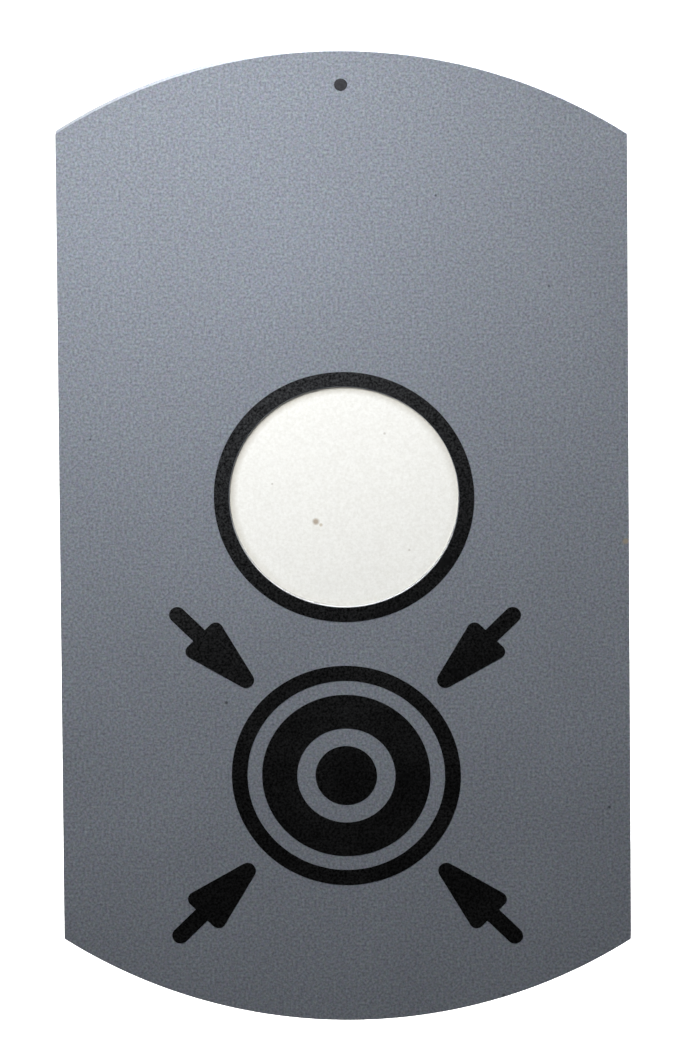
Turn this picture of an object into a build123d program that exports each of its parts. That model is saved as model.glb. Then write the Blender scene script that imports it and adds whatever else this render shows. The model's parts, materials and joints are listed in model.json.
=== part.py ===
from build123d import *
import math
import os

# Pedestrian push button with a full-face push plate. Millimetres.
# X runs to the right, Z runs up and the face looks along -Y. The origin is the middle of the
# wall face, which lies on Y = 0, so every piece has a Y below zero.

# ---------------------------------------------------------------- driving dimensions
plate_width = 100.0
plate_height = 177.4
arch_radius = 90.7  # of the curved top and bottom edges
plate_thickness = 2.0
plate_edge_round = 0.35
plate_corner_round = 0.4
unit_depth = 42.0  # from the wall to the plate's front

window_z = 7.5
window_radius = 20.17
window_ring_width = 2.7
print_thickness = 0.08
print_edge_gap = 0.08

target_above_bottom = 45.15
target_radii = (5.41, 8.65, 14.82, 17.40, 20.16)  # bull, its gap, disc, its gap, outer ring
arrow_tip_distance = 23.4
arrow_head_length = 12.95
arrow_head_width = 9.1
arrow_flank_slope = 0.264  # half-width gained per millimetre from the tip
arrow_tip_round = 1.45
arrow_head_round = 1.3
arrow_stem_width = 2.9
arrow_tail_distance = 43.15

access_hole_radius = 1.15
plug_lip_width = 0.35
plug_lip_thickness = 0.6
plug_recess = 0.05
lock_below_top = 6.12

press_travel = 1.5  # at the target's centre
hinge_below_top = 33.7
hinge_pin_radius = 2.0

tray_inset = 5.0  # the tray's edge, set in from the plate's edge
tray_gap = 3.2  # from the plate to the tray's floor
tray_thickness = 2.5
rim_height = 0.7
rim_width = 1.5
gasket_thickness = 1.0
box_inset = 13.5
box_wall = 2.5
wall_gasket_thickness = 1.5
wall_gasket_inset = 0.5

running_gap = 0.05
thread_gap = 0.02
contact_gap = 0.1
hole_clearance = 0.1
head_clearance = 0.3  # round screw heads and other loose round ends

# ---------------------------------------------------------------- levels along Y
top_z = plate_height / 2
target_z = -top_z + target_above_bottom
hinge_z = top_z - hinge_below_top
lock_z = top_z - lock_below_top
plate_front = -unit_depth
plate_rear = plate_front + plate_thickness
tray_front = plate_rear + tray_gap
tray_rear = tray_front + tray_thickness
flange_front = tray_rear + gasket_thickness
flange_rear = flange_front + box_wall
box_rear = -wall_gasket_thickness
box_floor = box_rear - box_wall
hinge_arm = hinge_z - target_z
press_angle = math.degrees(press_travel / hinge_arm)


# ---------------------------------------------------------------- drawing helpers
def slab(outline, y_front, y_rear):
    """A flat outline drawn in X and Z, made solid from y_front back to y_rear."""
    face_plane = Plane(origin=(0, y_front, 0), x_dir=(1, 0, 0), z_dir=(0, -1, 0))
    return extrude(face_plane * outline, amount=y_front - y_rear)


def rod(x, z, y_front, y_rear, radius):
    """A round bar along Y."""
    return slab(Pos(x, z) * Circle(radius), y_front, y_rear)


def tube(x, z, y_front, y_rear, outer, inner):
    """A round tube along Y."""
    return slab(Pos(x, z) * (Circle(outer) - Circle(inner)), y_front, y_rear)


def block(x_low, x_high, y_low, y_high, z_low, z_high):
    """A box between three pairs of limits."""
    middle = Pos((x_low + x_high) / 2, (y_low + y_high) / 2, (z_low + z_high) / 2)
    return middle * Box(x_high - x_low, y_high - y_low, z_high - z_low)


def cross_rod(x_low, x_high, y, z, radius):
    """A round bar along X."""
    side_plane = Plane(origin=(x_low, y, z), x_dir=(0, 1, 0), z_dir=(1, 0, 0))
    return extrude(side_plane * Circle(radius), amount=x_high - x_low)


def side_slab(outline, x_low, x_high):
    """An outline drawn in Y and Z, made solid from x_low to x_high."""
    side_plane = Plane(origin=(x_low, 0, 0), x_dir=(0, 1, 0), z_dir=(1, 0, 0))
    return extrude(side_plane * outline, amount=x_high - x_low)


def turned(points, x, z):
    """A closed outline of (radius, y) points, turned about an axis along Y."""
    radial_plane = Plane(origin=(x, 0, z), x_dir=(1, 0, 0), z_dir=(0, 0, 1))
    face = make_face(radial_plane * Polyline(*points, close=True))
    return revolve(face, axis=Axis((x, 0, z), (0, 1, 0)), revolution_arc=360)


def arched(inset, corner_round=0.0):
    """The plate's outline, set in evenly by the inset: two straight sides and two equal arcs."""
    half = plate_width / 2 - inset
    radius = arch_radius - inset
    top = top_z - inset
    shoulder = top - radius + math.sqrt(radius**2 - half**2)
    sides = Line((half, -shoulder), (half, shoulder)) + Line((-half, shoulder), (-half, -shoulder))
    upper = ThreePointArc((half, shoulder), (0, top), (-half, shoulder))
    lower = ThreePointArc((-half, -shoulder), (0, -top), (half, -shoulder))
    shape = make_face(sides + upper + lower)
    return fillet(shape.vertices(), corner_round) if corner_round else shape


def around(radius, count, start=0.0):
    """Offsets of points spaced evenly on a circle, from an angle in degrees."""
    turns = [math.radians(start + 360 / count * i) for i in range(count)]
    return [(radius * math.cos(a), radius * math.sin(a)) for a in turns]


def hexagon(across_flats):
    return RegularPolygon(across_flats / 2, 6, major_radius=False)


def nut(x, z, y_front, height, across_flats, bore):
    return slab(Pos(x, z) * (hexagon(across_flats) - Circle(bore)), y_front, y_front + height)


def screw(x, z, y_seat, length, radius, head_radius, head_height, toward_front=True):
    """A pan-head screw along Y with a socket in its head; the shank points to the front or the rear."""
    way = -1 if toward_front else 1
    head_end = y_seat - way * head_height
    shank = rod(x, z, *sorted((y_seat, y_seat + way * length)), radius)
    head = rod(x, z, *sorted((y_seat, head_end)), head_radius)
    socket_depth = head_height * socket_depth_share
    socket_end = head_end + way * socket_depth
    socket = slab(Pos(x, z) * hexagon(radius * socket_share), *sorted((head_end, socket_end)))
    return shank + head - socket


def spring(x, z, y_front, y_rear, mean_radius, wire_radius, turns):
    """A compression spring along Y, drawn as one helix."""
    height = y_rear - y_front - 2 * wire_radius
    coil = Helix(height / turns, height, mean_radius)
    start = Plane(origin=coil @ 0, z_dir=coil % 0)
    wire = sweep(start * Circle(wire_radius), coil, is_frenet=True)
    return Pos(x, y_front + wire_radius, z) * Rot(-90, 0, 0) * wire


def lead(points, radius):
    """A wire lead: straight runs joined by arcs as large as the runs allow."""
    corners = [Vector(*p) for p in points]
    radii = []
    for before, corner, after in zip(corners, corners[1:], corners[2:]):
        arriving = corner - before
        leaving = after - corner
        half_turn = math.radians(arriving.get_angle(leaving)) / 2
        radii.append(lead_run_share * min(arriving.length, leaving.length) / math.tan(half_turn))
    print("lead radii", [round(r, 1) for r in radii])
    path = FilletPolyline(*corners, radius=radii)
    start = Plane(origin=path @ 0, z_dir=path % 0)
    return sweep(start * Circle(radius), path)


def save(node, *solids):
    """Writes one node, which may be several separate solids."""
    shape = solids[0] if len(solids) == 1 else Compound(children=list(solids))
    export_step(shape, f"parts/{node}.step")


# ---------------------------------------------------------------- fastener sizes
socket_share = 1.3  # socket across flats, as a share of the shank's radius
socket_depth_share = 0.6
m2_radius, m2_head_radius, m2_head_height = 1.0, 1.9, 1.5
m2_nut_flats, m2_nut_height = 4.0, 1.6
m25_radius, m25_head_radius, m25_head_height = 1.25, 2.25, 1.8
m25_nut_flats, m25_nut_height = 5.0, 2.0
m3_radius, m3_head_radius, m3_head_height = 1.5, 2.75, 2.0
m3_nut_flats, m3_nut_height = 5.5, 2.4
stud_end = 0.6  # how far a stud stands out of its nut

# ---------------------------------------------------------------- lamp sizes
lens_recess = 0.4
lens_edge_gap = 0.08
lens_flange_width = 2.8
lens_flange_thickness = 1.5
lens_gasket_thickness = 0.5
lens_ring_lip = 1.2
lens_ring_wall = 2.2
lens_ring_cover = 0.7  # how far the lens ring's lip reaches in past the window
lens_ear_radius = 3.2
lens_stud_offset = 6.83  # from the window's edge to the studs' circle
well_wall = 1.5
well_clearance = 0.8
well_floor_thickness = 1.8
well_depth = 8.8
glass_overlap = 3.5
glass_thickness = 2.0
glass_seal_thickness = 0.8
glass_hole_overhang = 0.33
reflector_depth = 8.0
reflector_narrowing = 6.5
board_thickness = 1.6
led_size = 3.5
led_height = 1.9
led_inset = 5.0  # from the reflector's rear edge to the LEDs' circle
led_count = 8
post_radius = 2.4
post_clearance = 0.6
post_screw_length = 8.0

flange_radius = window_radius + lens_flange_width
lens_flange_front = plate_rear + lens_gasket_thickness
lens_rear = lens_flange_front + lens_flange_thickness
lens_ring_rear = lens_rear + lens_ring_lip
lens_stud_radius = window_radius + lens_stud_offset
well_radius = lens_stud_radius + lens_ear_radius + well_clearance
well_floor = tray_front + well_depth
well_rear = well_floor + well_floor_thickness
glass_hole_radius = window_radius + glass_hole_overhang
glass_radius = glass_hole_radius + glass_overlap
glass_front = well_rear + glass_seal_thickness
glass_rear = glass_front + glass_thickness
board_front = glass_rear + reflector_depth
reflector_rear_radius = glass_hole_radius - reflector_narrowing
led_circle = reflector_rear_radius - led_inset
board_rear = board_front + board_thickness
post_circle = glass_radius + post_radius + post_clearance
board_radius = post_circle + post_radius + hole_clearance

# ---------------------------------------------------------------- hinge sizes
lug_wall = 1.4
lug_plate_gap = 0.6
lug_thickness = 4.0
ear_thickness = 1.5
ear_wall = 1.5
ear_middle_x = 15.0
ear_to_lug = 2.0
bracket_thickness = 1.5
bracket_stud_x = 8.0
hinge_pocket_wall = 1.8
clip_thickness = 0.7
clip_gap = 0.3
pin_end = 1.2
pin_end_clearance = 0.8
bracket_nut_clearance = 1.45
bracket_margin = 0.55
hinge_pocket_clearance = 1.0

lug_radius = hinge_pin_radius + lug_wall
hinge_y = plate_rear + lug_plate_gap + lug_radius
ear_radius = hinge_pin_radius + ear_wall
bracket_stud_z = hinge_pin_radius + m3_nut_flats / 2 + bracket_nut_clearance
bracket_half_height = bracket_stud_z + m3_nut_flats / 2 + bracket_margin
lug_x = ear_middle_x + ear_to_lug
clip_x = lug_x + lug_thickness + clip_gap
pin_half_length = clip_x + clip_thickness + pin_end
pocket_half_width = pin_half_length + pin_end_clearance
pocket_half_height = bracket_half_height + hinge_pocket_clearance
pocket_floor = hinge_y + ear_radius + hinge_pocket_clearance

# ---------------------------------------------------------------- spring and bumper sizes
return_spring_x = 24.0
return_spring_above_bottom = 28.7
return_spring_radius = 4.0
return_wire_radius = 0.4
return_turns = 5
cup_clearance = 0.8
cup_wall = 1.5
cup_depth = 7.8
cup_floor_thickness = 1.8
spring_seat_height = 2.5
stop_x = 32.0
stop_above_bottom = 20.7
stop_radius = 4.0
rest_x = 18.0
rest_below_top = 14.7
rest_radius = 3.0
bumper_gap = 0.03
bumper_edge_round = 0.35
bumper_stem_radius = 1.5
bumper_stem_length = 1.8
return_spring_z = -top_z + return_spring_above_bottom
cup_radius = return_spring_radius + return_wire_radius + cup_clearance
cup_floor = tray_front + cup_depth
stop_z = -top_z + stop_above_bottom
rest_z = top_z - rest_below_top
stop_arm = hinge_z - stop_z + stop_radius
stop_front = plate_rear + press_travel * stop_arm / hinge_arm + bumper_gap
rest_front = plate_rear + bumper_gap

# ---------------------------------------------------------------- plunger and switch sizes
striker_height = 2.5
striker_radius = 4.0
striker_dome_radius = 20.0
plunger_radius = 2.45
plunger_head_radius = 6.0
plunger_head_height = 1.5
plunger_length = 16.4
plunger_dome_radius = 5.0
groove_depth = 0.4
plunger_clip_radius = 4.2
plunger_clip_thickness = 0.6
plunger_clip_mouth = 3.7
bush_wall = 2.0
bush_flange_radius = 6.5
bush_flange_height = 1.2
bush_length = 5.8
bush_nut_flats = 12.0
bush_nut_height = 2.5
pocket_radius = 9.0
plunger_pocket_wall = 1.8
plunger_pocket_depth = 6.8
boot_thickness = 0.6
boot_inner_radius = 4.6
boot_fold = 1.8
boot_half_folds = 4
plunger_spring_radius = 3.5
plunger_spring_wire = 0.25
plunger_spring_turns = 4

lever_thickness = 0.4
lever_arm = 12.55  # from the lever's pivot to the plunger's line
lever_overhang = 1.65
lever_arm_width = 3.2
lever_ear_thickness = 0.4
lever_ear_radius = 1.2
lever_pin_radius = 0.6
button_arm = 6.5  # from the lever's pivot to the switch button's line
button_radius = 1.0
button_height = 2.1
button_hole_depth = 2.5
button_rest_gap = 1.2  # from the button's foot to the hole's floor
switch_edge_round = 0.3
switch_pin_clearance = 0.2
switch_width = 6.4
switch_depth = 10.2
switch_length = 20.0
lever_pivot_inset = 1.5
lever_pivot_depth = 1.0
switch_hole_pitch = 9.5
switch_hole_depth = 6.3
tab_length = 3.2
tab_thickness = 0.6
tab_width = 3.0
tab_pitch = 6.5
switch_bracket_thickness = 1.2
bracket_reach = 21.0
bracket_setback = 3.4
foot_half_height = 8.1
bracket_edge = 2.0
bracket_lead_in = 3.5
standoff_x = 17.0
standoff_half_pitch = 4.5
standoff_boss_radius = 4.0
standoff_boss_height = 4.0
standoff_stud_length = 5.0
standoff_hole_spare = 0.5
bracket_screw_length = 8.0

striker_tip = plate_rear + striker_height
plunger_front = striker_tip + contact_gap
plunger_head_rear = plunger_front + plunger_head_height
plunger_tip = plunger_front + plunger_length
plunger_pocket_floor = tray_front + plunger_pocket_depth
plunger_pocket_rear = plunger_pocket_floor + plunger_pocket_wall
bush_bore = plunger_radius + running_gap
bush_radius = bush_bore + bush_wall
bush_front = plunger_pocket_floor - bush_flange_height
bush_rear = plunger_pocket_floor + bush_length
plunger_clip_front = bush_rear + clip_gap
lever_front = plunger_tip + contact_gap
lever_rear = lever_front + lever_thickness
switch_button_front = lever_rear + contact_gap
switch_front = switch_button_front + button_height
switch_rear = switch_front + switch_depth
lever_pivot_z = target_z + lever_arm
lever_pivot_y = switch_front + lever_pivot_depth
switch_top = lever_pivot_z + lever_pivot_inset
switch_middle_z = switch_top - switch_length / 2
switch_button_z = lever_pivot_z - button_arm
switch_screw_y = switch_front + switch_hole_depth
bracket_rear = switch_screw_y + bracket_setback
standoff_rear = bracket_rear - switch_bracket_thickness
standoff_front = tray_rear + standoff_boss_height
tab_rear = switch_rear + tab_length

# ---------------------------------------------------------------- back box sizes
box_corner_round = 4.0
wall_hole_radius = 2.75
wall_hole_inset = 26.7
gasket_outer_inset = 9.6
gasket_inner_inset = 15.0
lock_boss_radius = 2.6
tongue_inner_x = 4.0
tongue_outer_x = 12.0
tongue_thickness = 1.2
tongue_above_bottom = 8.7
tongue_lip = 1.4
tongue_gap = 0.3
grommet_x = -18.0
grommet_below_top = 40.7
grommet_groove_radius = 6.5
grommet_flange_radius = 8.2
grommet_flange_thickness = 1.5
grommet_rear_thickness = 1.275  # a little below the wall gasket's face
grommet_clearance = 0.4
cable_hole_radius = 4.0
block_left = -1.0
block_length = 26.0
block_height = 11.0
block_depth = 13.0
block_below_top = 39.7
block_standoff = 3.0
block_ways = 4
block_end = 3.0
way_screw_radius = 1.6
way_screw_depth = 4.0
way_slot_width = 0.64
way_slot_depth = 0.8
lead_radius = 0.5
lead_run_share = 0.45
lead_entry_depth = 3.5
lead_turn_x = 9.5
lead_pitch = 2.4
lead_lift = 0.5
lead_straight_end = 9.0
lead_bend_share = 0.3
# The switch leads' course behind the board: offsets in X and Y, and the share of the rise.
lead_course = ((1.2, 0.0, 0.2), (0.6, -0.4, 0.44), (0.3, -0.8, 0.68))
connector_width = 8.0
connector_height = 4.0
connector_depth = 4.0
connector_x = 7.3
connector_z = window_z + 22.5
lead_spacing = 3.6

grommet_z = top_z - grommet_below_top
wall_hole_z = top_z - wall_hole_inset
block_z = top_z - block_below_top
block_rear = box_floor - block_standoff
block_front = block_rear - block_depth
tongue_z = -top_z + tongue_above_bottom


# ---------------------------------------------------------------- the plate and what rides on it
def push_plate():
    plate = slab(arched(0, plate_corner_round), plate_front, plate_rear)
    rim = plate.faces().sort_by(Axis.Y)[0].outer_wire().edges()
    plate = fillet(rim, plate_edge_round)
    plate -= rod(0, window_z, plate_front, plate_rear, window_radius)
    return plate - rod(0, lock_z, plate_front, plate_rear, access_hole_radius)


def access_plug():
    """A push-in plug that closes the access hole; its lip grips behind the plate."""
    radius = access_hole_radius - thread_gap
    lip_end = plate_rear + plug_lip_thickness
    stem = rod(0, lock_z, plate_front + plug_recess, plate_rear, radius)
    return stem + rod(0, lock_z, plate_rear, lip_end, radius + plug_lip_width)


def plate_studs():
    """Welded studs: four for the lens ring, four for the hinge bracket, one for the striker."""
    lens_end = lens_ring_rear + m25_nut_height + stud_end
    bracket_end = plate_rear + bracket_thickness + m3_nut_height + stud_end
    studs = [rod(x, window_z + z, plate_rear, lens_end, m25_radius) for x, z in lens_stud_places()]
    studs += [rod(x, z, plate_rear, bracket_end, m3_radius) for x, z in bracket_stud_places()]
    return studs + [rod(0, target_z, plate_rear, plate_rear + striker_height / 2, m3_radius)]


def lens_stud_places():
    return around(lens_stud_radius, 4, 45)


def bracket_stud_places():
    heights = (hinge_z - bracket_stud_z, hinge_z + bracket_stud_z)
    return [(x, z) for x in (-bracket_stud_x, bracket_stud_x) for z in heights]


def printed(outline):
    return slab(outline, plate_front - print_thickness, plate_front)


def window_ring_print():
    inner = Circle(window_radius + print_edge_gap)
    return printed(Pos(0, window_z) * (Circle(window_radius + window_ring_width) - inner))


def target_print():
    bull, bull_gap, disc, ring_gap, ring = (Circle(r) for r in target_radii)
    shapes = (bull, disc - bull_gap, ring - ring_gap)
    return [printed(Pos(0, target_z) * shape) for shape in shapes]


def arrow_outline():
    """One arrow, drawn along X with its tip nearest the target's centre."""
    head_end = arrow_tip_distance + arrow_head_length
    half_width = arrow_head_width / 2
    point = head_end - half_width / arrow_flank_slope
    head = Polygon((point, 0), (head_end, -half_width), (head_end, half_width), align=None)
    tip = head.vertices().sort_by(Axis.X)[:1]
    head = fillet(tip, arrow_tip_round)
    corners = [v for v in head.vertices() if v.X > head_end - arrow_tip_round / 2]
    head = fillet(corners, arrow_head_round)
    stem_start = arrow_tip_distance + arrow_head_length / 2
    stem_end = arrow_tail_distance - arrow_stem_width / 2
    stem = Pos((stem_start + stem_end) / 2, 0) * Rectangle(stem_end - stem_start, arrow_stem_width)
    return head + stem + Pos(stem_end, 0) * Circle(arrow_stem_width / 2)


def arrow_prints():
    arrow = arrow_outline()
    return [printed(Pos(0, target_z) * Rot(0, 0, 45 + 90 * i) * arrow) for i in range(4)]


def diffuser_lens():
    front = rod(0, window_z, plate_front + lens_recess, lens_rear, window_radius - lens_edge_gap)
    return front + rod(0, window_z, lens_flange_front, lens_rear, flange_radius)


def lens_gasket():
    return tube(0, window_z, plate_rear, lens_flange_front, flange_radius, window_radius)


def lens_ring():
    """Holds the lens flange; four ears take the studs."""
    inner = flange_radius + hole_clearance
    outer = inner + lens_ring_wall
    ring = Circle(outer)
    for x, z in lens_stud_places():
        ring += Pos(x, z) * Circle(lens_ear_radius)
    holes = [Pos(x, z) * Circle(m25_radius + hole_clearance) for x, z in lens_stud_places()]
    body = slab(Pos(0, window_z) * (ring - holes), plate_rear, lens_ring_rear)
    body -= rod(0, window_z, plate_rear, lens_rear, inner)
    return body - rod(0, window_z, lens_rear, lens_ring_rear, window_radius - lens_ring_cover)


def lens_nuts():
    bore = m25_radius + thread_gap
    size = (lens_ring_rear, m25_nut_height, m25_nut_flats, bore)
    return [nut(x, window_z + z, *size) for x, z in lens_stud_places()]


def hinge_bracket():
    """A bent sheet leaf with an ear at each end that turns on the hinge pin."""
    half = ear_middle_x + ear_thickness / 2
    base_rear = plate_rear + bracket_thickness
    low = hinge_z - bracket_half_height
    leaf = block(-half, half, plate_rear, base_rear, low, hinge_z + bracket_half_height)
    ear = Pos(hinge_y, hinge_z) * Circle(ear_radius)
    ear_run = hinge_y - plate_rear
    ear += Pos(plate_rear + ear_run / 2, hinge_z) * Rectangle(ear_run, 2 * ear_radius)
    ear -= Pos(hinge_y, hinge_z) * Circle(hinge_pin_radius + running_gap)
    leaf += side_slab(ear, -half, -half + ear_thickness)
    leaf += side_slab(ear, half - ear_thickness, half)
    for x, z in bracket_stud_places():
        leaf -= rod(x, z, plate_rear, base_rear, m3_radius + hole_clearance)
    return leaf


def bracket_nuts():
    size = (plate_rear + bracket_thickness, m3_nut_height, m3_nut_flats, m3_radius + thread_gap)
    return [nut(x, z, *size) for x, z in bracket_stud_places()]


def striker():
    """The hard pad on the plate that meets the plunger, domed so that it can tilt."""
    body = rod(0, target_z, plate_rear, striker_tip, striker_radius)
    body &= Pos(0, striker_tip - striker_dome_radius, target_z) * Sphere(striker_dome_radius)
    stud_hole = m3_radius + thread_gap
    return body - rod(0, target_z, plate_rear, plate_rear + striker_height / 2, stud_hole)


def spring_seats():
    radius = return_spring_radius - return_wire_radius - head_clearance
    end = plate_rear + spring_seat_height
    return [rod(x, return_spring_z, plate_rear, end, radius) for x in spring_places()]


def spring_places():
    return (-return_spring_x, return_spring_x)


# ---------------------------------------------------------------- the tray behind the plate
def tray_outline(inset):
    return arched(inset, box_corner_round) + Pos(0, lock_z) * Circle(lock_boss_radius)


def tray():
    """The chassis tray: a floor with a rim, and wells sunk into the back box."""
    body = slab(tray_outline(tray_inset), tray_front, tray_rear)
    rim = arched(tray_inset, box_corner_round)
    rim -= arched(tray_inset + rim_width, box_corner_round)
    body += slab(rim, tray_front - rim_height, tray_front)
    body += rod(0, lock_z, tray_front, flange_front - hole_clearance, lock_boss_radius)
    body = add_lamp_well(body)
    body = add_hinge_pocket(body)
    body = add_round_well(body, 0, target_z, pocket_radius, plunger_pocket_wall, plunger_pocket_floor)
    body -= rod(0, target_z, plunger_pocket_floor, plunger_pocket_rear, bush_radius + hole_clearance)
    for x in spring_places():
        body = add_round_well(body, x, return_spring_z, cup_radius, cup_wall, cup_floor)
    for z in standoff_heights():
        body += rod(standoff_x, z, tray_rear, standoff_front, standoff_boss_radius)
        hole_end = standoff_front - standoff_stud_length - head_clearance
        body -= rod(standoff_x, z, hole_end, standoff_front, m3_radius + thread_gap)
    for x, z in bumper_places():
        body -= rod(x, z, tray_front, tray_front + bumper_stem_length, bumper_stem_radius)
    body -= rod(0, lock_z, tray_front, flange_front, m3_radius + hole_clearance)
    body -= rod(0, lock_z, tray_front - rim_height, tray_front, lock_boss_radius)
    return add_tongues(body)


def add_round_well(body, x, z, inner, wall, floor):
    body += rod(x, z, tray_front, floor + cup_floor_thickness, inner + wall)
    return body - rod(x, z, tray_front, floor, inner)


def add_lamp_well(body):
    """The well that the lens ring moves in, with posts behind it for the LED board."""
    body += rod(0, window_z, tray_front, well_rear, well_radius + well_wall)
    body -= rod(0, window_z, tray_front, well_floor, well_radius)
    body -= rod(0, window_z, well_floor, well_rear, glass_hole_radius)
    for x, z in post_places():
        body += rod(x, z, well_rear, board_front, post_radius)
        body -= rod(x, z, board_front - post_screw_length, board_front, m25_radius + thread_gap)
    return body


def post_places():
    return [(x, window_z + z) for x, z in around(post_circle, 4, 45)]


def add_hinge_pocket(body):
    """A pocket that sinks the hinge into the tray, with a lug each side for the pin."""
    wide = pocket_half_width + hinge_pocket_wall
    tall = pocket_half_height + hinge_pocket_wall
    low, high = hinge_z - tall, hinge_z + tall
    body += block(-wide, wide, tray_front, pocket_floor + hinge_pocket_wall, low, high)
    low, high = hinge_z - pocket_half_height, hinge_z + pocket_half_height
    front = tray_front - rim_height
    body -= block(-pocket_half_width, pocket_half_width, front, pocket_floor, low, high)
    run = pocket_floor - hinge_y
    lug = Pos(hinge_y, hinge_z) * Circle(lug_radius)
    lug += Pos(hinge_y + run / 2, hinge_z) * Rectangle(run, 2 * lug_radius)
    lug -= Pos(hinge_y, hinge_z) * Circle(hinge_pin_radius + thread_gap)
    body += side_slab(lug, lug_x, lug_x + lug_thickness)
    return body + side_slab(lug, -lug_x - lug_thickness, -lug_x)


def add_tongues(body):
    """Two tongues at the bottom that hook behind the back box's flange."""
    lip_front = flange_rear + tongue_gap
    for side in (-1, 1):
        low, high = sorted((side * tongue_inner_x, side * tongue_outer_x))
        top = tongue_z + tongue_thickness / 2
        bottom = tongue_z - tongue_thickness / 2
        lip_rear = lip_front + tongue_thickness
        body += block(low, high, tray_rear, lip_rear, bottom, top)
        body += block(low, high, lip_front, lip_rear, bottom - tongue_lip, top)
    return body


def standoff_heights():
    return (switch_middle_z - standoff_half_pitch, switch_middle_z + standoff_half_pitch)


def bumper_places():
    stops = [(-stop_x, stop_z), (stop_x, stop_z)]
    return stops + [(-rest_x, rest_z), (rest_x, rest_z)]


def bumper(x, z, front, radius):
    """A rubber bumper with a stem pressed into a blind hole in the tray."""
    pad = rod(x, z, front, tray_front, radius)
    edge = pad.faces().sort_by(Axis.Y)[0].edges()
    pad = fillet(edge, bumper_edge_round)
    return pad + rod(x, z, tray_front, tray_front + bumper_stem_length, bumper_stem_radius)


def hinge_pin():
    pin = cross_rod(-pin_half_length, pin_half_length, hinge_y, hinge_z, hinge_pin_radius)
    pin = chamfer(pin.edges().filter_by(GeomType.CIRCLE), groove_depth)
    for x in (clip_x, -clip_x - clip_thickness):
        band = cross_rod(x, x + clip_thickness, hinge_y, hinge_z, hinge_pin_radius)
        core = cross_rod(x, x + clip_thickness, hinge_y, hinge_z, hinge_pin_radius - groove_depth)
        pin -= band - core
    return pin


def pin_clips():
    """Two open retaining rings in the pin's grooves."""
    clips = []
    for x in (clip_x, -clip_x - clip_thickness):
        ring = Pos(hinge_y, hinge_z) * Circle(lug_radius)
        ring -= Pos(hinge_y, hinge_z) * Circle(hinge_pin_radius - groove_depth)
        mouth = hinge_pin_radius
        ring -= Pos(hinge_y + lug_radius / 2, hinge_z) * Rectangle(lug_radius, mouth)
        clips.append(side_slab(ring, x, x + clip_thickness))
    return clips


def lock_screw():
    length = flange_rear - tray_front + stud_end
    head_radius = lock_boss_radius - head_clearance
    return screw(0, lock_z, tray_front, length, m3_radius, head_radius, m3_head_height, False)


def return_springs():
    sizes = (return_spring_radius, return_wire_radius, return_turns)
    front, rear = plate_rear + contact_gap, cup_floor - contact_gap
    return [spring(x, return_spring_z, front, rear, *sizes) for x in spring_places()]


# ---------------------------------------------------------------- plunger
def plunger():
    """The striker pushes its head, and its domed tip pushes the switch's lever."""
    groove = plunger_radius - groove_depth
    groove_end = plunger_clip_front + plunger_clip_thickness
    points = [
        (0, plunger_front),
        (plunger_head_radius, plunger_front),
        (plunger_head_radius, plunger_head_rear),
        (plunger_radius, plunger_head_rear),
        (plunger_radius, plunger_clip_front),
        (groove, plunger_clip_front),
        (groove, groove_end),
        (0, groove_end),
    ]
    dome = Pos(0, plunger_tip - plunger_dome_radius, target_z) * Sphere(plunger_dome_radius)
    tip = rod(0, target_z, groove_end, plunger_tip, plunger_radius) & dome
    return turned(points, 0, target_z) + tip


def plunger_clip():
    groove = plunger_radius - groove_depth
    ring = Circle(plunger_clip_radius) - Circle(groove)
    ring -= Pos(0, -plunger_clip_radius / 2) * Rectangle(plunger_clip_mouth, plunger_clip_radius)
    rear = plunger_clip_front + plunger_clip_thickness
    return slab(Pos(0, target_z) * ring, plunger_clip_front, rear)


def plunger_bush():
    bush = rod(0, target_z, bush_front, plunger_pocket_floor, bush_flange_radius)
    bush += rod(0, target_z, plunger_pocket_floor, bush_rear, bush_radius)
    return bush - rod(0, target_z, bush_front, bush_rear, bush_bore)


def bush_nut():
    bore = bush_radius + thread_gap
    return nut(0, target_z, plunger_pocket_rear, bush_nut_height, bush_nut_flats, bore)


def plunger_boot():
    """A rubber bellows between the plunger's head and the bush."""
    run = (bush_front - plunger_head_rear) / boot_half_folds
    inner = []
    for i in range(boot_half_folds + 1):
        radius = boot_inner_radius + (boot_fold if i % 2 else 0)
        inner.append((radius, plunger_head_rear + run * i))
    outer = [(radius + boot_thickness, y) for radius, y in reversed(inner)]
    return turned(inner + outer, 0, target_z)


def plunger_spring():
    front, rear = plunger_head_rear + contact_gap, bush_front - contact_gap
    sizes = (plunger_spring_radius, plunger_spring_wire, plunger_spring_turns)
    return spring(0, target_z, front, rear, *sizes)


# ---------------------------------------------------------------- switch
def switch_body():
    half = switch_width / 2
    low = switch_top - switch_length
    body = block(-half, half, switch_front, switch_rear, low, switch_top)
    body = fillet(body.edges().filter_by(Axis.X), switch_edge_round)
    stretch = half + lever_ear_thickness + switch_pin_clearance
    body += cross_rod(-stretch, stretch, lever_pivot_y, lever_pivot_z, lever_pin_radius)
    hole_end = switch_front + button_hole_depth
    body -= rod(0, switch_button_z, switch_front, hole_end, button_radius + running_gap)
    for z in switch_screw_heights():
        body -= cross_rod(-half, half, switch_screw_y, z, m2_radius + hole_clearance)
    return body


def switch_screw_heights():
    return (switch_middle_z - switch_hole_pitch / 2, switch_middle_z + switch_hole_pitch / 2)


def switch_button():
    bottom = switch_front + button_hole_depth - button_rest_gap
    button = rod(0, switch_button_z, switch_button_front, bottom, button_radius)
    return fillet(button.faces().sort_by(Axis.Y)[0].edges(), button_radius / 2)


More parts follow.
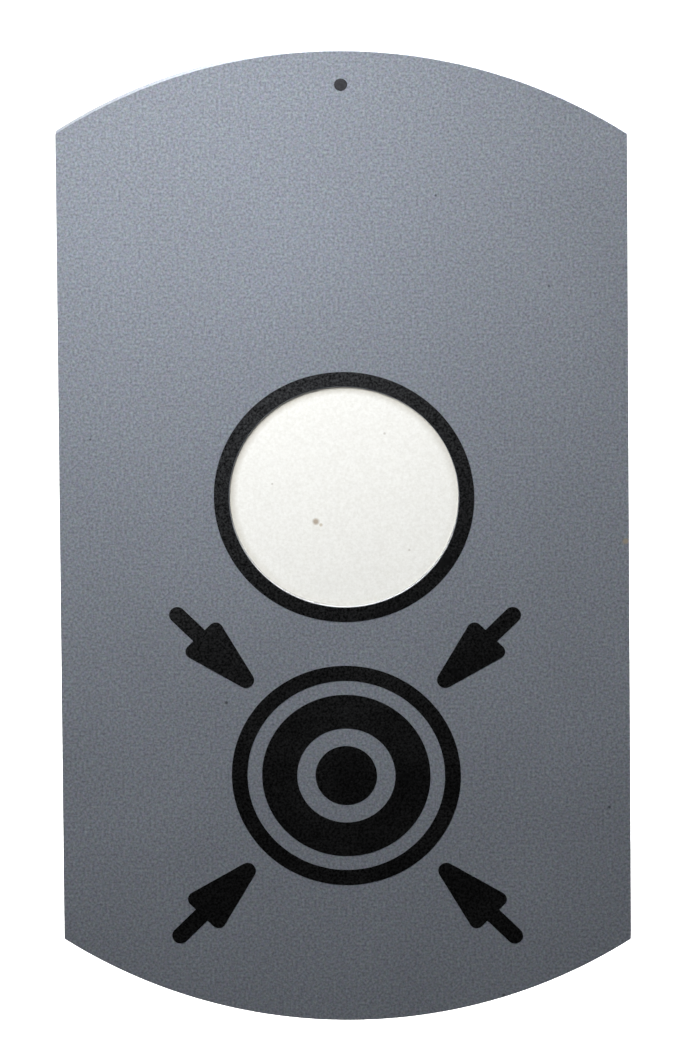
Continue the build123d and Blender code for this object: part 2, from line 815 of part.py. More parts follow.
def switch_lever():
    """A sheet lever over the button, with an ear each side of the switch body."""
    inner = switch_width / 2 + hole_clearance
    outer = inner + lever_ear_thickness
    top = lever_pivot_z + lever_ear_radius
    bottom = lever_pivot_z - lever_arm - lever_overhang
    shoulder = lever_pivot_z - lever_ear_radius
    lever = block(-outer, outer, lever_front, lever_rear, shoulder, top)
    arm = lever_arm_width / 2
    lever += block(-arm, arm, lever_front, lever_rear, bottom, shoulder)
    run = lever_pivot_y - lever_front
    ear = Pos(lever_pivot_y, lever_pivot_z) * Circle(lever_ear_radius)
    ear += Pos(lever_front + run / 2, lever_pivot_z) * Rectangle(run, 2 * lever_ear_radius)
    ear -= Pos(lever_pivot_y, lever_pivot_z) * Circle(lever_pin_radius + running_gap)
    lever += side_slab(ear, inner, outer)
    return lever + side_slab(ear, -outer, -inner)


def switch_tabs():
    tabs = []
    for i in (-1, 0, 1):
        z = switch_middle_z + i * tab_pitch
        half = tab_thickness / 2
        low, high = z - tab_width / 2, z + tab_width / 2
        tabs.append(block(-half, half, switch_rear, tab_rear, low, high))
    return tabs


def switch_bracket():
    """A bent angle: one leg on the switch's side, one on the standoffs."""
    side = switch_width / 2
    low, high = switch_middle_z - foot_half_height, switch_middle_z + foot_half_height
    thickness = switch_bracket_thickness
    leg_top = switch_middle_z + switch_hole_pitch / 2 + bracket_edge
    leg_front = switch_screw_y - bracket_lead_in
    bracket = block(side, side + thickness, leg_front, bracket_rear, low, leg_top)
    bracket += block(side, bracket_reach, bracket_rear - thickness, bracket_rear, low, high)
    for z in switch_screw_heights():
        bracket -= cross_rod(side, side + thickness, switch_screw_y, z, m2_radius + hole_clearance)
    for z in standoff_heights():
        bracket -= rod(standoff_x, z, standoff_rear, bracket_rear, m3_radius + hole_clearance)
    return bracket


def switch_screws():
    screws = []
    side = switch_width / 2
    seat = side + switch_bracket_thickness
    for z in switch_screw_heights():
        shank = cross_rod(-side - m2_nut_height, seat, switch_screw_y, z, m2_radius)
        head = cross_rod(seat, seat + m2_head_height, switch_screw_y, z, m2_head_radius)
        socket_from = seat + m2_head_height * (1 - socket_depth_share)
        socket_plane = Plane(origin=(socket_from, switch_screw_y, z), x_dir=(0, 1, 0), z_dir=(1, 0, 0))
        socket = extrude(socket_plane * hexagon(m2_radius * socket_share), amount=m2_head_height)
        screws.append(shank + head - socket)
    return screws


def switch_nuts():
    nuts = []
    for z in switch_screw_heights():
        outline = hexagon(m2_nut_flats) - Circle(m2_radius + thread_gap)
        outline = Pos(switch_screw_y, z) * outline
        nuts.append(side_slab(outline, -switch_width / 2 - m2_nut_height, -switch_width / 2))
    return nuts


def standoffs():
    """Hex standoffs with a stud in the tray and a threaded hole for the bracket's screw."""
    pieces = []
    for z in standoff_heights():
        post = slab(Pos(standoff_x, z) * hexagon(m3_nut_flats), standoff_front, standoff_rear)
        stud_front = standoff_front - standoff_stud_length
        post += rod(standoff_x, z, stud_front, standoff_front, m3_radius)
        hole_front = bracket_rear - bracket_screw_length - standoff_hole_spare
        post -= rod(standoff_x, z, hole_front, standoff_rear, m3_radius + thread_gap)
        pieces.append(post)
    return pieces


def bracket_screws():
    size = (bracket_rear, bracket_screw_length, m3_radius, m3_head_radius, m3_head_height)
    return [screw(standoff_x, z, *size) for z in standoff_heights()]


# ---------------------------------------------------------------- lamp
def lamp_glass_seal():
    return tube(0, window_z, well_rear, glass_front, glass_radius, glass_hole_radius)


def lamp_glass():
    return rod(0, window_z, glass_front, glass_rear, glass_radius)


def reflector():
    """A white cup that spreads the LEDs' light over the lens."""
    points = [
        (glass_hole_radius, glass_rear),
        (glass_radius, glass_rear),
        (glass_radius, board_front),
        (reflector_rear_radius, board_front),
    ]
    return turned(points, 0, window_z)


def led_board():
    board = rod(0, window_z, board_front, board_rear, board_radius)
    for x, z in post_places():
        board -= rod(x, z, board_front, board_rear, m25_radius + hole_clearance)
    return board


def leds():
    half = led_size / 2
    places = [(0, 0)] + around(led_circle, led_count)
    front = board_front - led_height
    pieces = []
    for x, z in places:
        z += window_z
        pieces.append(block(x - half, x + half, front, board_front, z - half, z + half))
    return pieces


def board_screws():
    size = (board_rear, post_screw_length, m25_radius, m25_head_radius, m25_head_height)
    return [screw(x, z, *size) for x, z in post_places()]


def lamp_connector():
    low = connector_z - connector_height / 2
    half = connector_width / 2
    rear = board_rear + connector_depth
    return block(connector_x - half, connector_x + half, board_rear, rear, low, low + connector_height)


# ---------------------------------------------------------------- back box and what it holds
def back_box():
    body = slab(tray_outline(tray_inset), flange_front, flange_rear)
    body += slab(arched(box_inset, box_corner_round), flange_front, box_rear)
    hollow = arched(box_inset + box_wall, box_corner_round - box_wall / 2)
    body -= slab(hollow, flange_front, box_floor)
    body -= rod(0, lock_z, flange_front, flange_rear, m3_radius + thread_gap)
    for side in (-1, 1):
        low, high = sorted((side * tongue_inner_x, side * tongue_outer_x))
        half = tongue_thickness / 2 + tongue_gap
        near, far = low - tongue_gap, high + tongue_gap
        body -= block(near, far, flange_front, flange_rear, tongue_z - half, tongue_z + half)
    for z in (-wall_hole_z, wall_hole_z):
        body -= rod(0, z, box_floor, box_rear, wall_hole_radius)
    body -= rod(grommet_x, grommet_z, box_floor, box_rear, grommet_groove_radius)
    for x in block_screw_places():
        body += rod(x, block_z, block_rear, box_floor, m25_head_radius)
        body -= rod(x, block_z, block_rear, box_floor, m25_radius + thread_gap)
    return body


def box_gasket():
    outline = arched(gasket_outer_inset, box_corner_round)
    outline -= arched(gasket_inner_inset, box_corner_round / 2)
    return slab(outline, tray_rear, flange_front)


def wall_gasket():
    pad = slab(arched(box_inset + wall_gasket_inset, box_corner_round), box_rear, 0)
    for z in (-wall_hole_z, wall_hole_z):
        pad -= rod(0, z, box_rear, 0, wall_hole_radius)
    return pad - rod(grommet_x, grommet_z, box_rear, 0, grommet_flange_radius + grommet_clearance)


def cable_grommet():
    inner_front = box_floor - grommet_flange_thickness
    outer_rear = box_rear + grommet_rear_thickness
    body = rod(grommet_x, grommet_z, inner_front, box_floor, grommet_flange_radius)
    body += rod(grommet_x, grommet_z, box_floor, box_rear, grommet_groove_radius)
    body += rod(grommet_x, grommet_z, box_rear, outer_rear, grommet_flange_radius)
    return body - rod(grommet_x, grommet_z, inner_front, outer_rear, cable_hole_radius)


def block_screw_places():
    return (block_left + block_end, block_left + block_length - block_end)


def way_places():
    pitch = (block_length - 4 * block_end) / (block_ways - 1)
    return [block_left + 2 * block_end + pitch * i for i in range(block_ways)]


def terminal_block():
    low, high = block_z - block_height / 2, block_z + block_height / 2
    body = block(block_left, block_left + block_length, block_front, block_rear, low, high)
    for x in way_places():
        body -= rod(x, block_z, block_front, block_front + way_screw_depth, way_screw_radius + running_gap)
    for x in block_screw_places():
        body -= rod(x, block_z, block_front, block_rear, m25_radius + hole_clearance)
        head_floor = block_front + block_depth / 2
        body -= rod(x, block_z, block_front, head_floor, m25_head_radius + hole_clearance)
    return body


def terminal_screws():
    """The slotted screws that clamp the wires."""
    screws = []
    for x in way_places():
        end = block_front + way_screw_depth
        head = rod(x, block_z, block_front + way_screw_radius / 2, end, way_screw_radius)
        slot_half = way_slot_width / 2
        slot_front = block_front + way_screw_radius / 2
        slot_rear = slot_front + way_slot_depth
        across = (x - way_screw_radius, x + way_screw_radius)
        head -= block(*across, slot_front, slot_rear, block_z - slot_half, block_z + slot_half)
        screws.append(head)
    return screws


def block_screws():
    seat = block_front + block_depth / 2
    length = block_depth / 2 + block_standoff - contact_gap
    size = (m25_radius, m25_head_radius, m25_head_height)
    return [screw(x, block_z, seat, length, *size, False) for x in block_screw_places()]


def lamp_leads():
    """Two short leads from the LED board's connector up to the terminal block."""
    bottom = connector_z + connector_height / 2
    top = block_z - block_height / 2
    middle = board_rear + connector_depth / 2
    entry = middle - lead_radius
    step = (top - bottom) / 3
    leads = []
    for side, way in zip((-0.5, 0.5), way_places()):
        x = connector_x + side * lead_spacing
        shift = way - x
        points = [
            (x, middle, bottom),
            (x, middle, bottom + step),
            (x + shift, entry, top - step),
            (x + shift, entry, top),
        ]
        leads.append(lead(points, lead_radius))
    return leads


def switch_leads():
    """Two leads from the switch's tabs, behind the LED board, up to the terminal block."""
    y = tab_rear - tab_length / 2
    top = block_z - block_height / 2
    entry = block_rear - lead_entry_depth
    leads = []
    for i, way in zip((1, 0), way_places()[2:]):
        start_z = switch_middle_z + i * tab_pitch
        turn_x = lead_turn_x + lead_pitch * (1 - i)
        points = [(tab_thickness / 2 + running_gap, y, start_z)]
        points += [(turn_x, y, start_z + lead_lift)]
        for x_shift, y_shift, share in lead_course:
            x = turn_x if share < lead_bend_share else way
            points.append((x + x_shift, y + y_shift, start_z + share * (top - start_z)))
        points += [(way, entry, top - lead_straight_end), (way, entry, top)]
        leads.append(lead(points, lead_radius))
    return leads


# ---------------------------------------------------------------- write every node
os.makedirs("parts", exist_ok=True)

save("push_plate", push_plate())
save("access_plug", access_plug())
save("plate_studs", *plate_studs())
save("window_ring_print", window_ring_print())
save("target_print", *target_print())
save("arrow_prints", *arrow_prints())
save("diffuser_lens", diffuser_lens())
save("lens_gasket", lens_gasket())
save("lens_ring", lens_ring())
save("lens_nuts", *lens_nuts())
save("hinge_bracket", hinge_bracket())
save("bracket_nuts", *bracket_nuts())
save("striker", striker())
save("spring_seats", *spring_seats())

save("chassis_tray", tray())
save("stop_bumpers", *[bumper(x, z, stop_front, stop_radius) for x, z in bumper_places()[:2]])
save("rest_bumpers", *[bumper(x, z, rest_front, rest_radius) for x, z in bumper_places()[2:]])
save("hinge_pin", hinge_pin())
save("pin_clips", *pin_clips())
save("lock_screw", lock_screw())
save("return_springs", *return_springs())

save("plunger", plunger())
save("plunger_clip", plunger_clip())
save("plunger_bush", plunger_bush())
save("bush_nut", bush_nut())
save("plunger_boot", plunger_boot())
save("plunger_spring", plunger_spring())

save("switch_body", switch_body())
save("switch_button", switch_button())
save("switch_lever", switch_lever())
save("switch_tabs", *switch_tabs())
save("switch_bracket", switch_bracket())
save("switch_screws", *switch_screws())
save("switch_nuts", *switch_nuts())
save("switch_standoffs", *standoffs())
save("bracket_screws", *bracket_screws())

save("lamp_glass_seal", lamp_glass_seal())
save("lamp_glass", lamp_glass())
save("reflector", reflector())
save("led_board", led_board())
save("leds", *leds())
save("board_screws", *board_screws())
save("lamp_connector", lamp_connector())

save("back_box", back_box())
save("box_gasket", box_gasket())
save("wall_gasket", wall_gasket())
save("cable_grommet", cable_grommet())
save("terminal_block", terminal_block())
save("terminal_screws", *terminal_screws())
save("block_screws", *block_screws())
save("lamp_leads", *lamp_leads())
save("switch_leads", *switch_leads())
print("press angle", round(press_angle, 4), "hinge arm", hinge_arm)
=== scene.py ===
# %% [markdown]
# # Pedestrian push button
# A crossing button is a flat unit on a pole. Its whole front is one arched metal plate that
# rocks on a hidden pin: a push on the printed target tips the plate by a millimetre and a half
# and works a switch behind it. The white disc is the lens of a lamp that answers the push.
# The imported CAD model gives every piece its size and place. This lesson gives them their looks.

# %% Load the frame
import json
import math

import bmesh
import bpy
from mathutils import Matrix, Vector


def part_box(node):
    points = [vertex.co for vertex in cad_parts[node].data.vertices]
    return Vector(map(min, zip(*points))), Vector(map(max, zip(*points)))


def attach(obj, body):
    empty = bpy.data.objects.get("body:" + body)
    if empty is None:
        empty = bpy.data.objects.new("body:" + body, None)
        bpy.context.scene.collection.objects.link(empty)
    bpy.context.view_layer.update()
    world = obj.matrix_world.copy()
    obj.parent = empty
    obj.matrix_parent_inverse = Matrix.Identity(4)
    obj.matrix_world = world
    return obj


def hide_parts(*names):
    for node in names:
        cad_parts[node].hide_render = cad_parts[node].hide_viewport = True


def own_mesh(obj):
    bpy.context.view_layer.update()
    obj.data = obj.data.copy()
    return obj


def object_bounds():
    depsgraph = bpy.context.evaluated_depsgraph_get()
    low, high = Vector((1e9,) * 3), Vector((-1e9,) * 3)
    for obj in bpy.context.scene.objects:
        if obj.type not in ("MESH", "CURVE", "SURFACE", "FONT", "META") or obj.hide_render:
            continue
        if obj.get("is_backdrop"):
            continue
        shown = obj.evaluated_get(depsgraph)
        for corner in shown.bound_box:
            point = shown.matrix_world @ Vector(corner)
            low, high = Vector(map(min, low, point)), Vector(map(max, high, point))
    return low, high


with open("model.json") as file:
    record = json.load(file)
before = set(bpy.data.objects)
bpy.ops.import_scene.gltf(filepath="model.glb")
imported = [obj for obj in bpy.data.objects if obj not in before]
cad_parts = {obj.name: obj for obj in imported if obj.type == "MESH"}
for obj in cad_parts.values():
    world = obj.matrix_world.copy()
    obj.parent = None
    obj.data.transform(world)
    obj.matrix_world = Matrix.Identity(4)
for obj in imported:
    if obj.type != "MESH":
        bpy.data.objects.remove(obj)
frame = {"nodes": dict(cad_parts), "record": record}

MM = 0.001
cad_low, cad_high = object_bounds()
nodes = frame["nodes"]
print("CAD nodes:", len(nodes), "box in mm:", [round(v / MM, 2) for v in cad_high - cad_low])

# %% [markdown]
# ## Small helpers
# Both shaders and Geometry Nodes are trees of nodes joined by links. One function adds a node,
# sets its properties, and fills each input with a value or with a link from another node.
# Colours are written as the hex codes a paint maker would give, and turned to linear light here,
# because shaders count light and a hex code counts what the eye sees.

# %% Node and colour helpers
def add(tree, kind, wires=None, **settings):
    """Adds a node. wires maps an input's name or number to a plain value, to an output, or to a
    node, which stands for its first output. A list of these feeds an input that takes several."""
    node = tree.nodes.new(kind)
    for key, value in settings.items():
        setattr(node, key, value)
    wires = wires or {}
    while hasattr(node, "index_switch_items") and len(node.index_switch_items) < len(wires) - 1:
        node.index_switch_items.new()
    for socket, given in wires.items():
        for source in given if isinstance(given, list) else [given]:
            if isinstance(source, bpy.types.Node):
                source = source.outputs[0]
            if isinstance(source, bpy.types.NodeSocket):
                tree.links.new(source, node.inputs[socket])
            else:
                node.inputs[socket].default_value = source
    return node


def linear(hex_code):
    """An sRGB hex colour as linear RGBA."""
    channels = [int(hex_code[i : i + 2], 16) / 255 for i in (1, 3, 5)]
    return (*(c / 12.92 if c <= 0.04045 else ((c + 0.055) / 1.055) ** 2.4 for c in channels), 1.0)


print("helpers ready; mid grey is", [round(c, 3) for c in linear("#808080")])

# %% [markdown]
# ## One base for all finishes
# Real surfaces are never one colour. Each finish starts from the same recipe: a Principled
# shader, a fine grain that tints the colour and lifts the surface, and a broad, faint mottling
# that shifts the roughness as handling and weather do. Each pattern is sized in millimetres on
# the object, so the numbers below are real grain sizes.

# %% The base finish
def finish(name, colour, shade, roughness, metallic=0.0, grain=0.5, depth=0.01, tint=0.5,
           patch=14.0, wear=0.06, stretch=(1, 1, 1)):
    """A material: grain and patch are pattern sizes and depth is relief, all in millimetres.
    shade is the second colour that the grain mixes in, by the share tint."""
    material = bpy.data.materials.new(name)
    material.use_nodes = True
    tree = material.node_tree
    tree.nodes.clear()
    place = add(tree, "ShaderNodeTexCoord")
    stretched = add(tree, "ShaderNodeMapping", {"Vector": place.outputs["Object"], "Scale": stretch})
    fine = add(tree, "ShaderNodeTexNoise", {
        "Vector": stretched, "Scale": 1 / (grain * MM), "Detail": 3.0, "Roughness": 0.6})
    broad = add(tree, "ShaderNodeTexNoise", {
        "Vector": place.outputs["Object"], "Scale": 1 / (patch * MM), "Detail": 4.0})
    contrast = add(tree, "ShaderNodeMapRange", {
        "Value": fine, "From Min": 0.3, "From Max": 0.7, "To Max": tint})
    mixed = add(tree, "ShaderNodeMix", {
        "Factor": contrast, 6: linear(colour), 7: linear(shade)}, data_type="RGBA")
    rough = add(tree, "ShaderNodeMapRange", {
        "Value": broad, "From Min": 0.3, "From Max": 0.7,
        "To Min": roughness - wear, "To Max": roughness + wear})
    relief = add(tree, "ShaderNodeBump", {
        "Height": fine, "Distance": depth * MM, "Strength": 1.0})
    shader = add(tree, "ShaderNodeBsdfPrincipled", {
        "Base Color": mixed.outputs[2], "Roughness": rough, "Metallic": metallic,
        "Normal": relief})
    add(tree, "ShaderNodeOutputMaterial", {"Surface": shader})
    return material, {"tree": tree, "place": place, "fine": fine, "colour": mixed, "shader": shader}


def tint_by(parts, mask, colour):
    """Lays another colour over the finish wherever the mask is 1."""
    tree, shader = parts["tree"], parts["shader"]
    below = shader.inputs["Base Color"].links[0].from_socket
    over = add(tree, "ShaderNodeMix", {"Factor": mask, 6: below, 7: linear(colour)}, data_type="RGBA")
    tree.links.new(over.outputs[2], shader.inputs["Base Color"])


# %% [markdown]
# ## The plate's finish: silver-grey structured coating
# The plate is aluminium with a baked silver-grey powder coat. Flakes of metal in the powder
# give a satin sheen that is neither paint nor bare metal, so it is part metallic. The coat dries
# to a fine, leathery grain about half a millimetre across. The rounded front edge is coloured a
# thin dark line. The window's edge carries a painted highlight: it is coloured near white and is
# not metallic, so it reads as lit. A few specks and a stain mark the plate's years outdoors.

# %% Silver coating
def speck(parts, centre, size, colour, strength=1.0):
    """A small round mark at a place on the object, softened over its own size."""
    tree = parts["tree"]
    away = add(tree, "ShaderNodeVectorMath", {
        0: parts["place"].outputs["Object"], 1: centre}, operation="DISTANCE")
    soft = add(tree, "ShaderNodeMapRange", {
        "Value": away.outputs["Value"], "From Min": size * 0.4 * MM, "From Max": size * MM,
        "To Min": strength, "To Max": 0.0})
    tint_by(parts, soft, colour)


plate_low, plate_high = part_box("push_plate")
front_y = plate_low.y
silver, silver_parts = finish("silver_powder_coat", "#9CA1A9", "#6A7079", 0.44, metallic=0.55,
                              grain=0.42, depth=0.019, tint=1.0, patch=22.0, wear=0.04)
silver_tree = silver_parts["tree"]
flakes = add(silver_tree, "ShaderNodeTexNoise", {
    "Vector": silver_parts["place"].outputs["Object"], "Scale": 1 / (0.6 * MM), "Detail": 2.0})
hues = add(silver_tree, "ShaderNodeHueSaturation", {
    "Saturation": 0.55, "Value": 1.0, "Color": flakes.outputs["Color"]})
flecked = add(silver_tree, "ShaderNodeMix", {
    "Factor": 0.31, 6: silver_parts["colour"].outputs[2], 7: hues},
    data_type="RGBA", blend_type="OVERLAY")
silver_tree.links.new(flecked.outputs[2], silver_parts["shader"].inputs["Base Color"])
# The rounded front edge is coloured a thin dark line.
rim_mask = add(silver_tree, "ShaderNodeAttribute", attribute_name="rim")
tint_by(silver_parts, rim_mask.outputs["Fac"], "#1E1A17")
# Painted highlight: the window's edge is coloured near white and, below, made not metallic, so that it
# reads as lit.
lip_highlight_mask = add(silver_tree, "ShaderNodeAttribute", attribute_name="painted_lip_highlight")
tint_by(silver_parts, lip_highlight_mask.outputs["Fac"], "#F0F2F4")
either_edge = add(silver_tree, "ShaderNodeMath", {
    0: rim_mask.outputs["Fac"], 1: lip_highlight_mask.outputs["Fac"]}, operation="MAXIMUM")
edge_metallic = add(silver_tree, "ShaderNodeMapRange", {
    "Value": either_edge, "To Min": 0.55, "To Max": 0.0})
silver_tree.links.new(edge_metallic.outputs[0], silver_parts["shader"].inputs["Metallic"])
for x, z, size in ((49.4, -0.6, 0.7), (46.3, -49.4, 0.35), (36.2, 46.0, 0.3), (16.5, 62.5, 0.28),
                   (-21.0, -30.2, 0.4), (27.5, -84.0, 0.3), (-44.5, 18.0, 0.25)):
    shade = "#A89A80" if size > 0.6 else "#3B3D42"
    speck(silver_parts, (x * MM, front_y, z * MM), size, shade, 0.8)
print("silver coating ready")

# %% [markdown]
# ## The arched plate, by Geometry Nodes
# The outline follows a rule: two straight sides joined by two equal arcs. A ring of points is
# laid on that rule by its index: the first half runs left to right on the upper arc, the second
# half right to left on the lower one, and the straight sides close by themselves. The ring, the
# lamp window and the small access hole are filled as one face and pushed back by the thickness.
# A Bevel modifier rounds the edges and a Weighted Normal keeps the large face truly flat.

# %% Tree helpers
def tree_with(name, inputs):
    """A Geometry Nodes tree with named inputs; returns the tree, its input node and its output."""
    tree = bpy.data.node_groups.new(name, "GeometryNodeTree")
    kinds = {float: "NodeSocketFloat", int: "NodeSocketInt", Vector: "NodeSocketVector",
             bpy.types.Material: "NodeSocketMaterial"}
    tree.interface.new_socket("Places", in_out="INPUT", socket_type="NodeSocketGeometry")
    for label, kind in inputs.items():
        tree.interface.new_socket(label, in_out="INPUT", socket_type=kinds[kind])
    tree.interface.new_socket("Geometry", in_out="OUTPUT", socket_type="NodeSocketGeometry")
    return tree, tree.nodes.new("NodeGroupInput"), tree.nodes.new("NodeGroupOutput")


def grow(name, tree, values, extra=(), places=()):
    """Runs a tree on a mesh of loose points and keeps the result as a plain mesh object.
    extra is a list of (modifier type, settings) that finish the shape, and places the points."""
    points = bpy.data.meshes.new(name + "_seed")
    points.from_pydata(places, [], [])
    seed = bpy.data.objects.new(name + "_seed", points)
    bpy.context.scene.collection.objects.link(seed)
    modifier = seed.modifiers.new("grow", "NODES")
    modifier.node_group = tree
    for item in tree.interface.items_tree:
        if item.in_out == "INPUT" and item.name in values:
            modifier[item.identifier] = values[item.name]
    for kind, settings in extra:
        finisher = seed.modifiers.new(kind.title(), kind)
        for key, value in settings.items():
            setattr(finisher, key, value)
    graph = bpy.context.evaluated_depsgraph_get()
    mesh = bpy.data.meshes.new_from_object(seed.evaluated_get(graph), depsgraph=graph)
    mesh.name = name
    bpy.data.objects.remove(seed)
    piece = bpy.data.objects.new(name, mesh)
    bpy.context.scene.collection.objects.link(piece)
    return piece


def tidy_mesh(piece, weld=0.000001, sharp=35.0, outward=True):
    """Welds doubles, points faces outwards and shades smooth with sharp edges kept."""
    mesh = bmesh.new()
    mesh.from_mesh(piece.data)
    bmesh.ops.remove_doubles(mesh, verts=mesh.verts, dist=weld)
    if outward:
        bmesh.ops.recalc_face_normals(mesh, faces=mesh.faces)
    open_edges = sum(1 for e in mesh.edges if len(e.link_faces) != 2)
    mesh.to_mesh(piece.data)
    mesh.free()
    piece.data.shade_smooth()
    piece.data.set_sharp_from_angle(angle=math.radians(sharp))
    print(piece.name, "faces", len(piece.data.polygons), "open edges", open_edges)
    return piece


def solid_from(tree, curves, thickness):
    """Fills flat curves and gives the face a thickness, with both sides closed."""
    face = add(tree, "GeometryNodeFillCurve", {"Curve": curves}, mode="TRIANGLES")
    face = add(tree, "GeometryNodeMergeByDistance", {"Geometry": face, "Distance": 0.000001})
    up = add(tree, "ShaderNodeCombineXYZ", {"Z": 1.0})
    top = add(tree, "GeometryNodeExtrudeMesh", {
        "Mesh": face, "Offset": up, "Offset Scale": thickness, "Individual": False})
    base = add(tree, "GeometryNodeFlipFaces", {"Mesh": face})
    joined = add(tree, "GeometryNodeJoinGeometry", {0: [base, top]})
    return add(tree, "GeometryNodeMergeByDistance", {"Geometry": joined, "Distance": 0.000001})


def stand_up(tree, geometry, y, z):
    """Turns work drawn flat in X and Y so that it faces the front, and moves it to its place."""
    place = add(tree, "ShaderNodeCombineXYZ", {"Y": y, "Z": z})
    return add(tree, "GeometryNodeTransform", {
        "Geometry": geometry, "Translation": place, "Rotation": (math.pi / 2, 0, 0)})


def end_tree(tree, out, geometry, material):
    """Every tree ends the same way: real geometry, with its material on it."""
    real = add(tree, "GeometryNodeRealizeInstances", {"Geometry": geometry})
    painted = add(tree, "GeometryNodeSetMaterial", {"Geometry": real, "Material": material})
    tree.links.new(painted.outputs[0], out.inputs[0])


# %% The plate's tree
def plate_tree():
    labels = ("Width", "Height", "Arch Radius", "Thickness", "Corner Round", "Window Radius",
              "Window Z", "Hole Radius", "Hole Z", "Rear Y")
    tree, given, out = tree_with("arched_plate", {
        **dict.fromkeys(labels, float), "Arc Points": int, "Coating": bpy.types.Material})
    size = given.outputs
    points, radius = size["Arc Points"], size["Arch Radius"]
    both = add(tree, "ShaderNodeMath", {0: points, 1: 2.0}, operation="MULTIPLY")
    ring = add(tree, "GeometryNodeMeshCircle", {"Vertices": both, "Radius": 1.0})
    # side is 1 on the upper arc and -1 on the lower one
    index = add(tree, "GeometryNodeInputIndex")
    border = add(tree, "ShaderNodeMath", {0: points, 1: 0.5}, operation="SUBTRACT")
    lower = add(tree, "ShaderNodeMath", {0: index, 1: border}, operation="GREATER_THAN")
    side = add(tree, "ShaderNodeMath", {0: lower, 1: -2.0, 2: 1.0}, operation="MULTIPLY_ADD")
    # along runs from -1 to 1 over each arc
    step = add(tree, "ShaderNodeMath", {0: index, 1: points}, operation="MODULO")
    last = add(tree, "ShaderNodeMath", {0: points, 1: 1.0}, operation="SUBTRACT")
    share = add(tree, "ShaderNodeMath", {0: step, 1: last}, operation="DIVIDE")
    along = add(tree, "ShaderNodeMath", {0: share, 1: 2.0, 2: -1.0}, operation="MULTIPLY_ADD")
    # the arc's half angle is the arcsine of half the width over the radius
    half_width = add(tree, "ShaderNodeMath", {0: size["Width"], 1: 2.0}, operation="DIVIDE")
    slope = add(tree, "ShaderNodeMath", {0: half_width, 1: radius}, operation="DIVIDE")
    sweep = add(tree, "ShaderNodeMath", {0: slope}, operation="ARCSINE")
    swept = add(tree, "ShaderNodeMath", {0: along, 1: sweep}, operation="MULTIPLY")
    angle = add(tree, "ShaderNodeMath", {0: swept, 1: side}, operation="MULTIPLY")
    sine = add(tree, "ShaderNodeMath", {0: angle}, operation="SINE")
    cosine = add(tree, "ShaderNodeMath", {0: angle}, operation="COSINE")
    x = add(tree, "ShaderNodeMath", {0: radius, 1: sine}, operation="MULTIPLY")
    # the arc's centre lies one radius below the top of the plate
    half_height = add(tree, "ShaderNodeMath", {0: size["Height"], 1: 2.0}, operation="DIVIDE")
    centre = add(tree, "ShaderNodeMath", {0: half_height, 1: radius}, operation="SUBTRACT")
    height = add(tree, "ShaderNodeMath", {0: radius, 1: cosine, 2: centre}, operation="MULTIPLY_ADD")
    y = add(tree, "ShaderNodeMath", {0: height, 1: side}, operation="MULTIPLY")
    spot = add(tree, "ShaderNodeCombineXYZ", {"X": x, "Y": y})
    laid = add(tree, "GeometryNodeSetPosition", {"Geometry": ring, "Position": spot})
    outline = add(tree, "GeometryNodeMeshToCurve", {"Mesh": laid})
    # only the four corners, at the full half width, are rounded
    here = add(tree, "GeometryNodeInputPosition")
    apart = add(tree, "ShaderNodeSeparateXYZ", {0: here})
    across = add(tree, "ShaderNodeMath", {0: apart}, operation="ABSOLUTE")
    nearly = add(tree, "ShaderNodeMath", {0: half_width, 1: 0.00001}, operation="SUBTRACT")
    corner = add(tree, "ShaderNodeMath", {0: across, 1: nearly}, operation="GREATER_THAN")
    bend = add(tree, "ShaderNodeMath", {0: corner, 1: size["Corner Round"]}, operation="MULTIPLY")
    loops = [add(tree, "GeometryNodeFilletCurve", {
        "Curve": outline, "Count": 6, "Radius": bend, "Limit Radius": True}, mode="POLY")]
    for label, fineness in (("Window", 160), ("Hole", 40)):
        loop = add(tree, "GeometryNodeCurvePrimitiveCircle", {
            "Resolution": fineness, "Radius": size[label + " Radius"]})
        middle = add(tree, "ShaderNodeCombineXYZ", {"Y": size[label + " Z"]})
        loops.append(add(tree, "GeometryNodeTransform", {"Geometry": loop, "Translation": middle}))
    together = add(tree, "GeometryNodeJoinGeometry", {0: loops})
    solid = solid_from(tree, together, size["Thickness"])
    end_tree(tree, out, stand_up(tree, solid, size["Rear Y"], 0.0), size["Coating"])
    return tree


plate_width = plate_high.x - plate_low.x
arch_radius = 90.7 * MM
plate_height = 177.4 * MM
window_z = (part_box("diffuser_lens")[0].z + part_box("diffuser_lens")[1].z) / 2
lock_z = (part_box("lock_screw")[0].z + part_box("lock_screw")[1].z) / 2
window_radius = 20.17 * MM
edge_round = 0.2 * MM
plate = grow("face_plate", plate_tree(), {
    "Width": plate_width, "Height": plate_height, "Arch Radius": arch_radius,
    "Thickness": plate_high.y - plate_low.y, "Corner Round": 0.4 * MM,
    "Window Radius": window_radius, "Window Z": window_z, "Hole Radius": 1.15 * MM,
    "Hole Z": lock_z, "Rear Y": plate_high.y, "Arc Points": 120, "Coating": silver,
}, [("BEVEL", {"width": edge_round, "segments": 4, "limit_method": "ANGLE",
               "angle_limit": math.radians(40), "use_clamp_overlap": True}),
    ("WEIGHTED_NORMAL", {"keep_sharp": True})])


def mark_rim(piece):
    """Stores 1 on the faces of the rounded front edge (rim) and on the window's edge, where a highlight is
    painted.
    """
    rim = piece.data.attributes.new("rim", "FLOAT", "FACE")
    painted_lip_highlight = piece.data.attributes.new("painted_lip_highlight", "FLOAT", "FACE")
    for face in piece.data.polygons:
        middle, tilt = face.center, -face.normal.y
        near_window = math.hypot(middle.x, middle.z - window_z) < window_radius + edge_round
        rim.data[face.index].value = 1.0 if 0.05 < tilt < 0.999 and not near_window else 0.0
        painted_lip_highlight.data[face.index].value = 1.0 if abs(tilt) < 0.999 and near_window else 0.0


mark_rim(plate)
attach(plate, "plate")
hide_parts("push_plate")
print("plate faces:", len(plate.data.polygons))
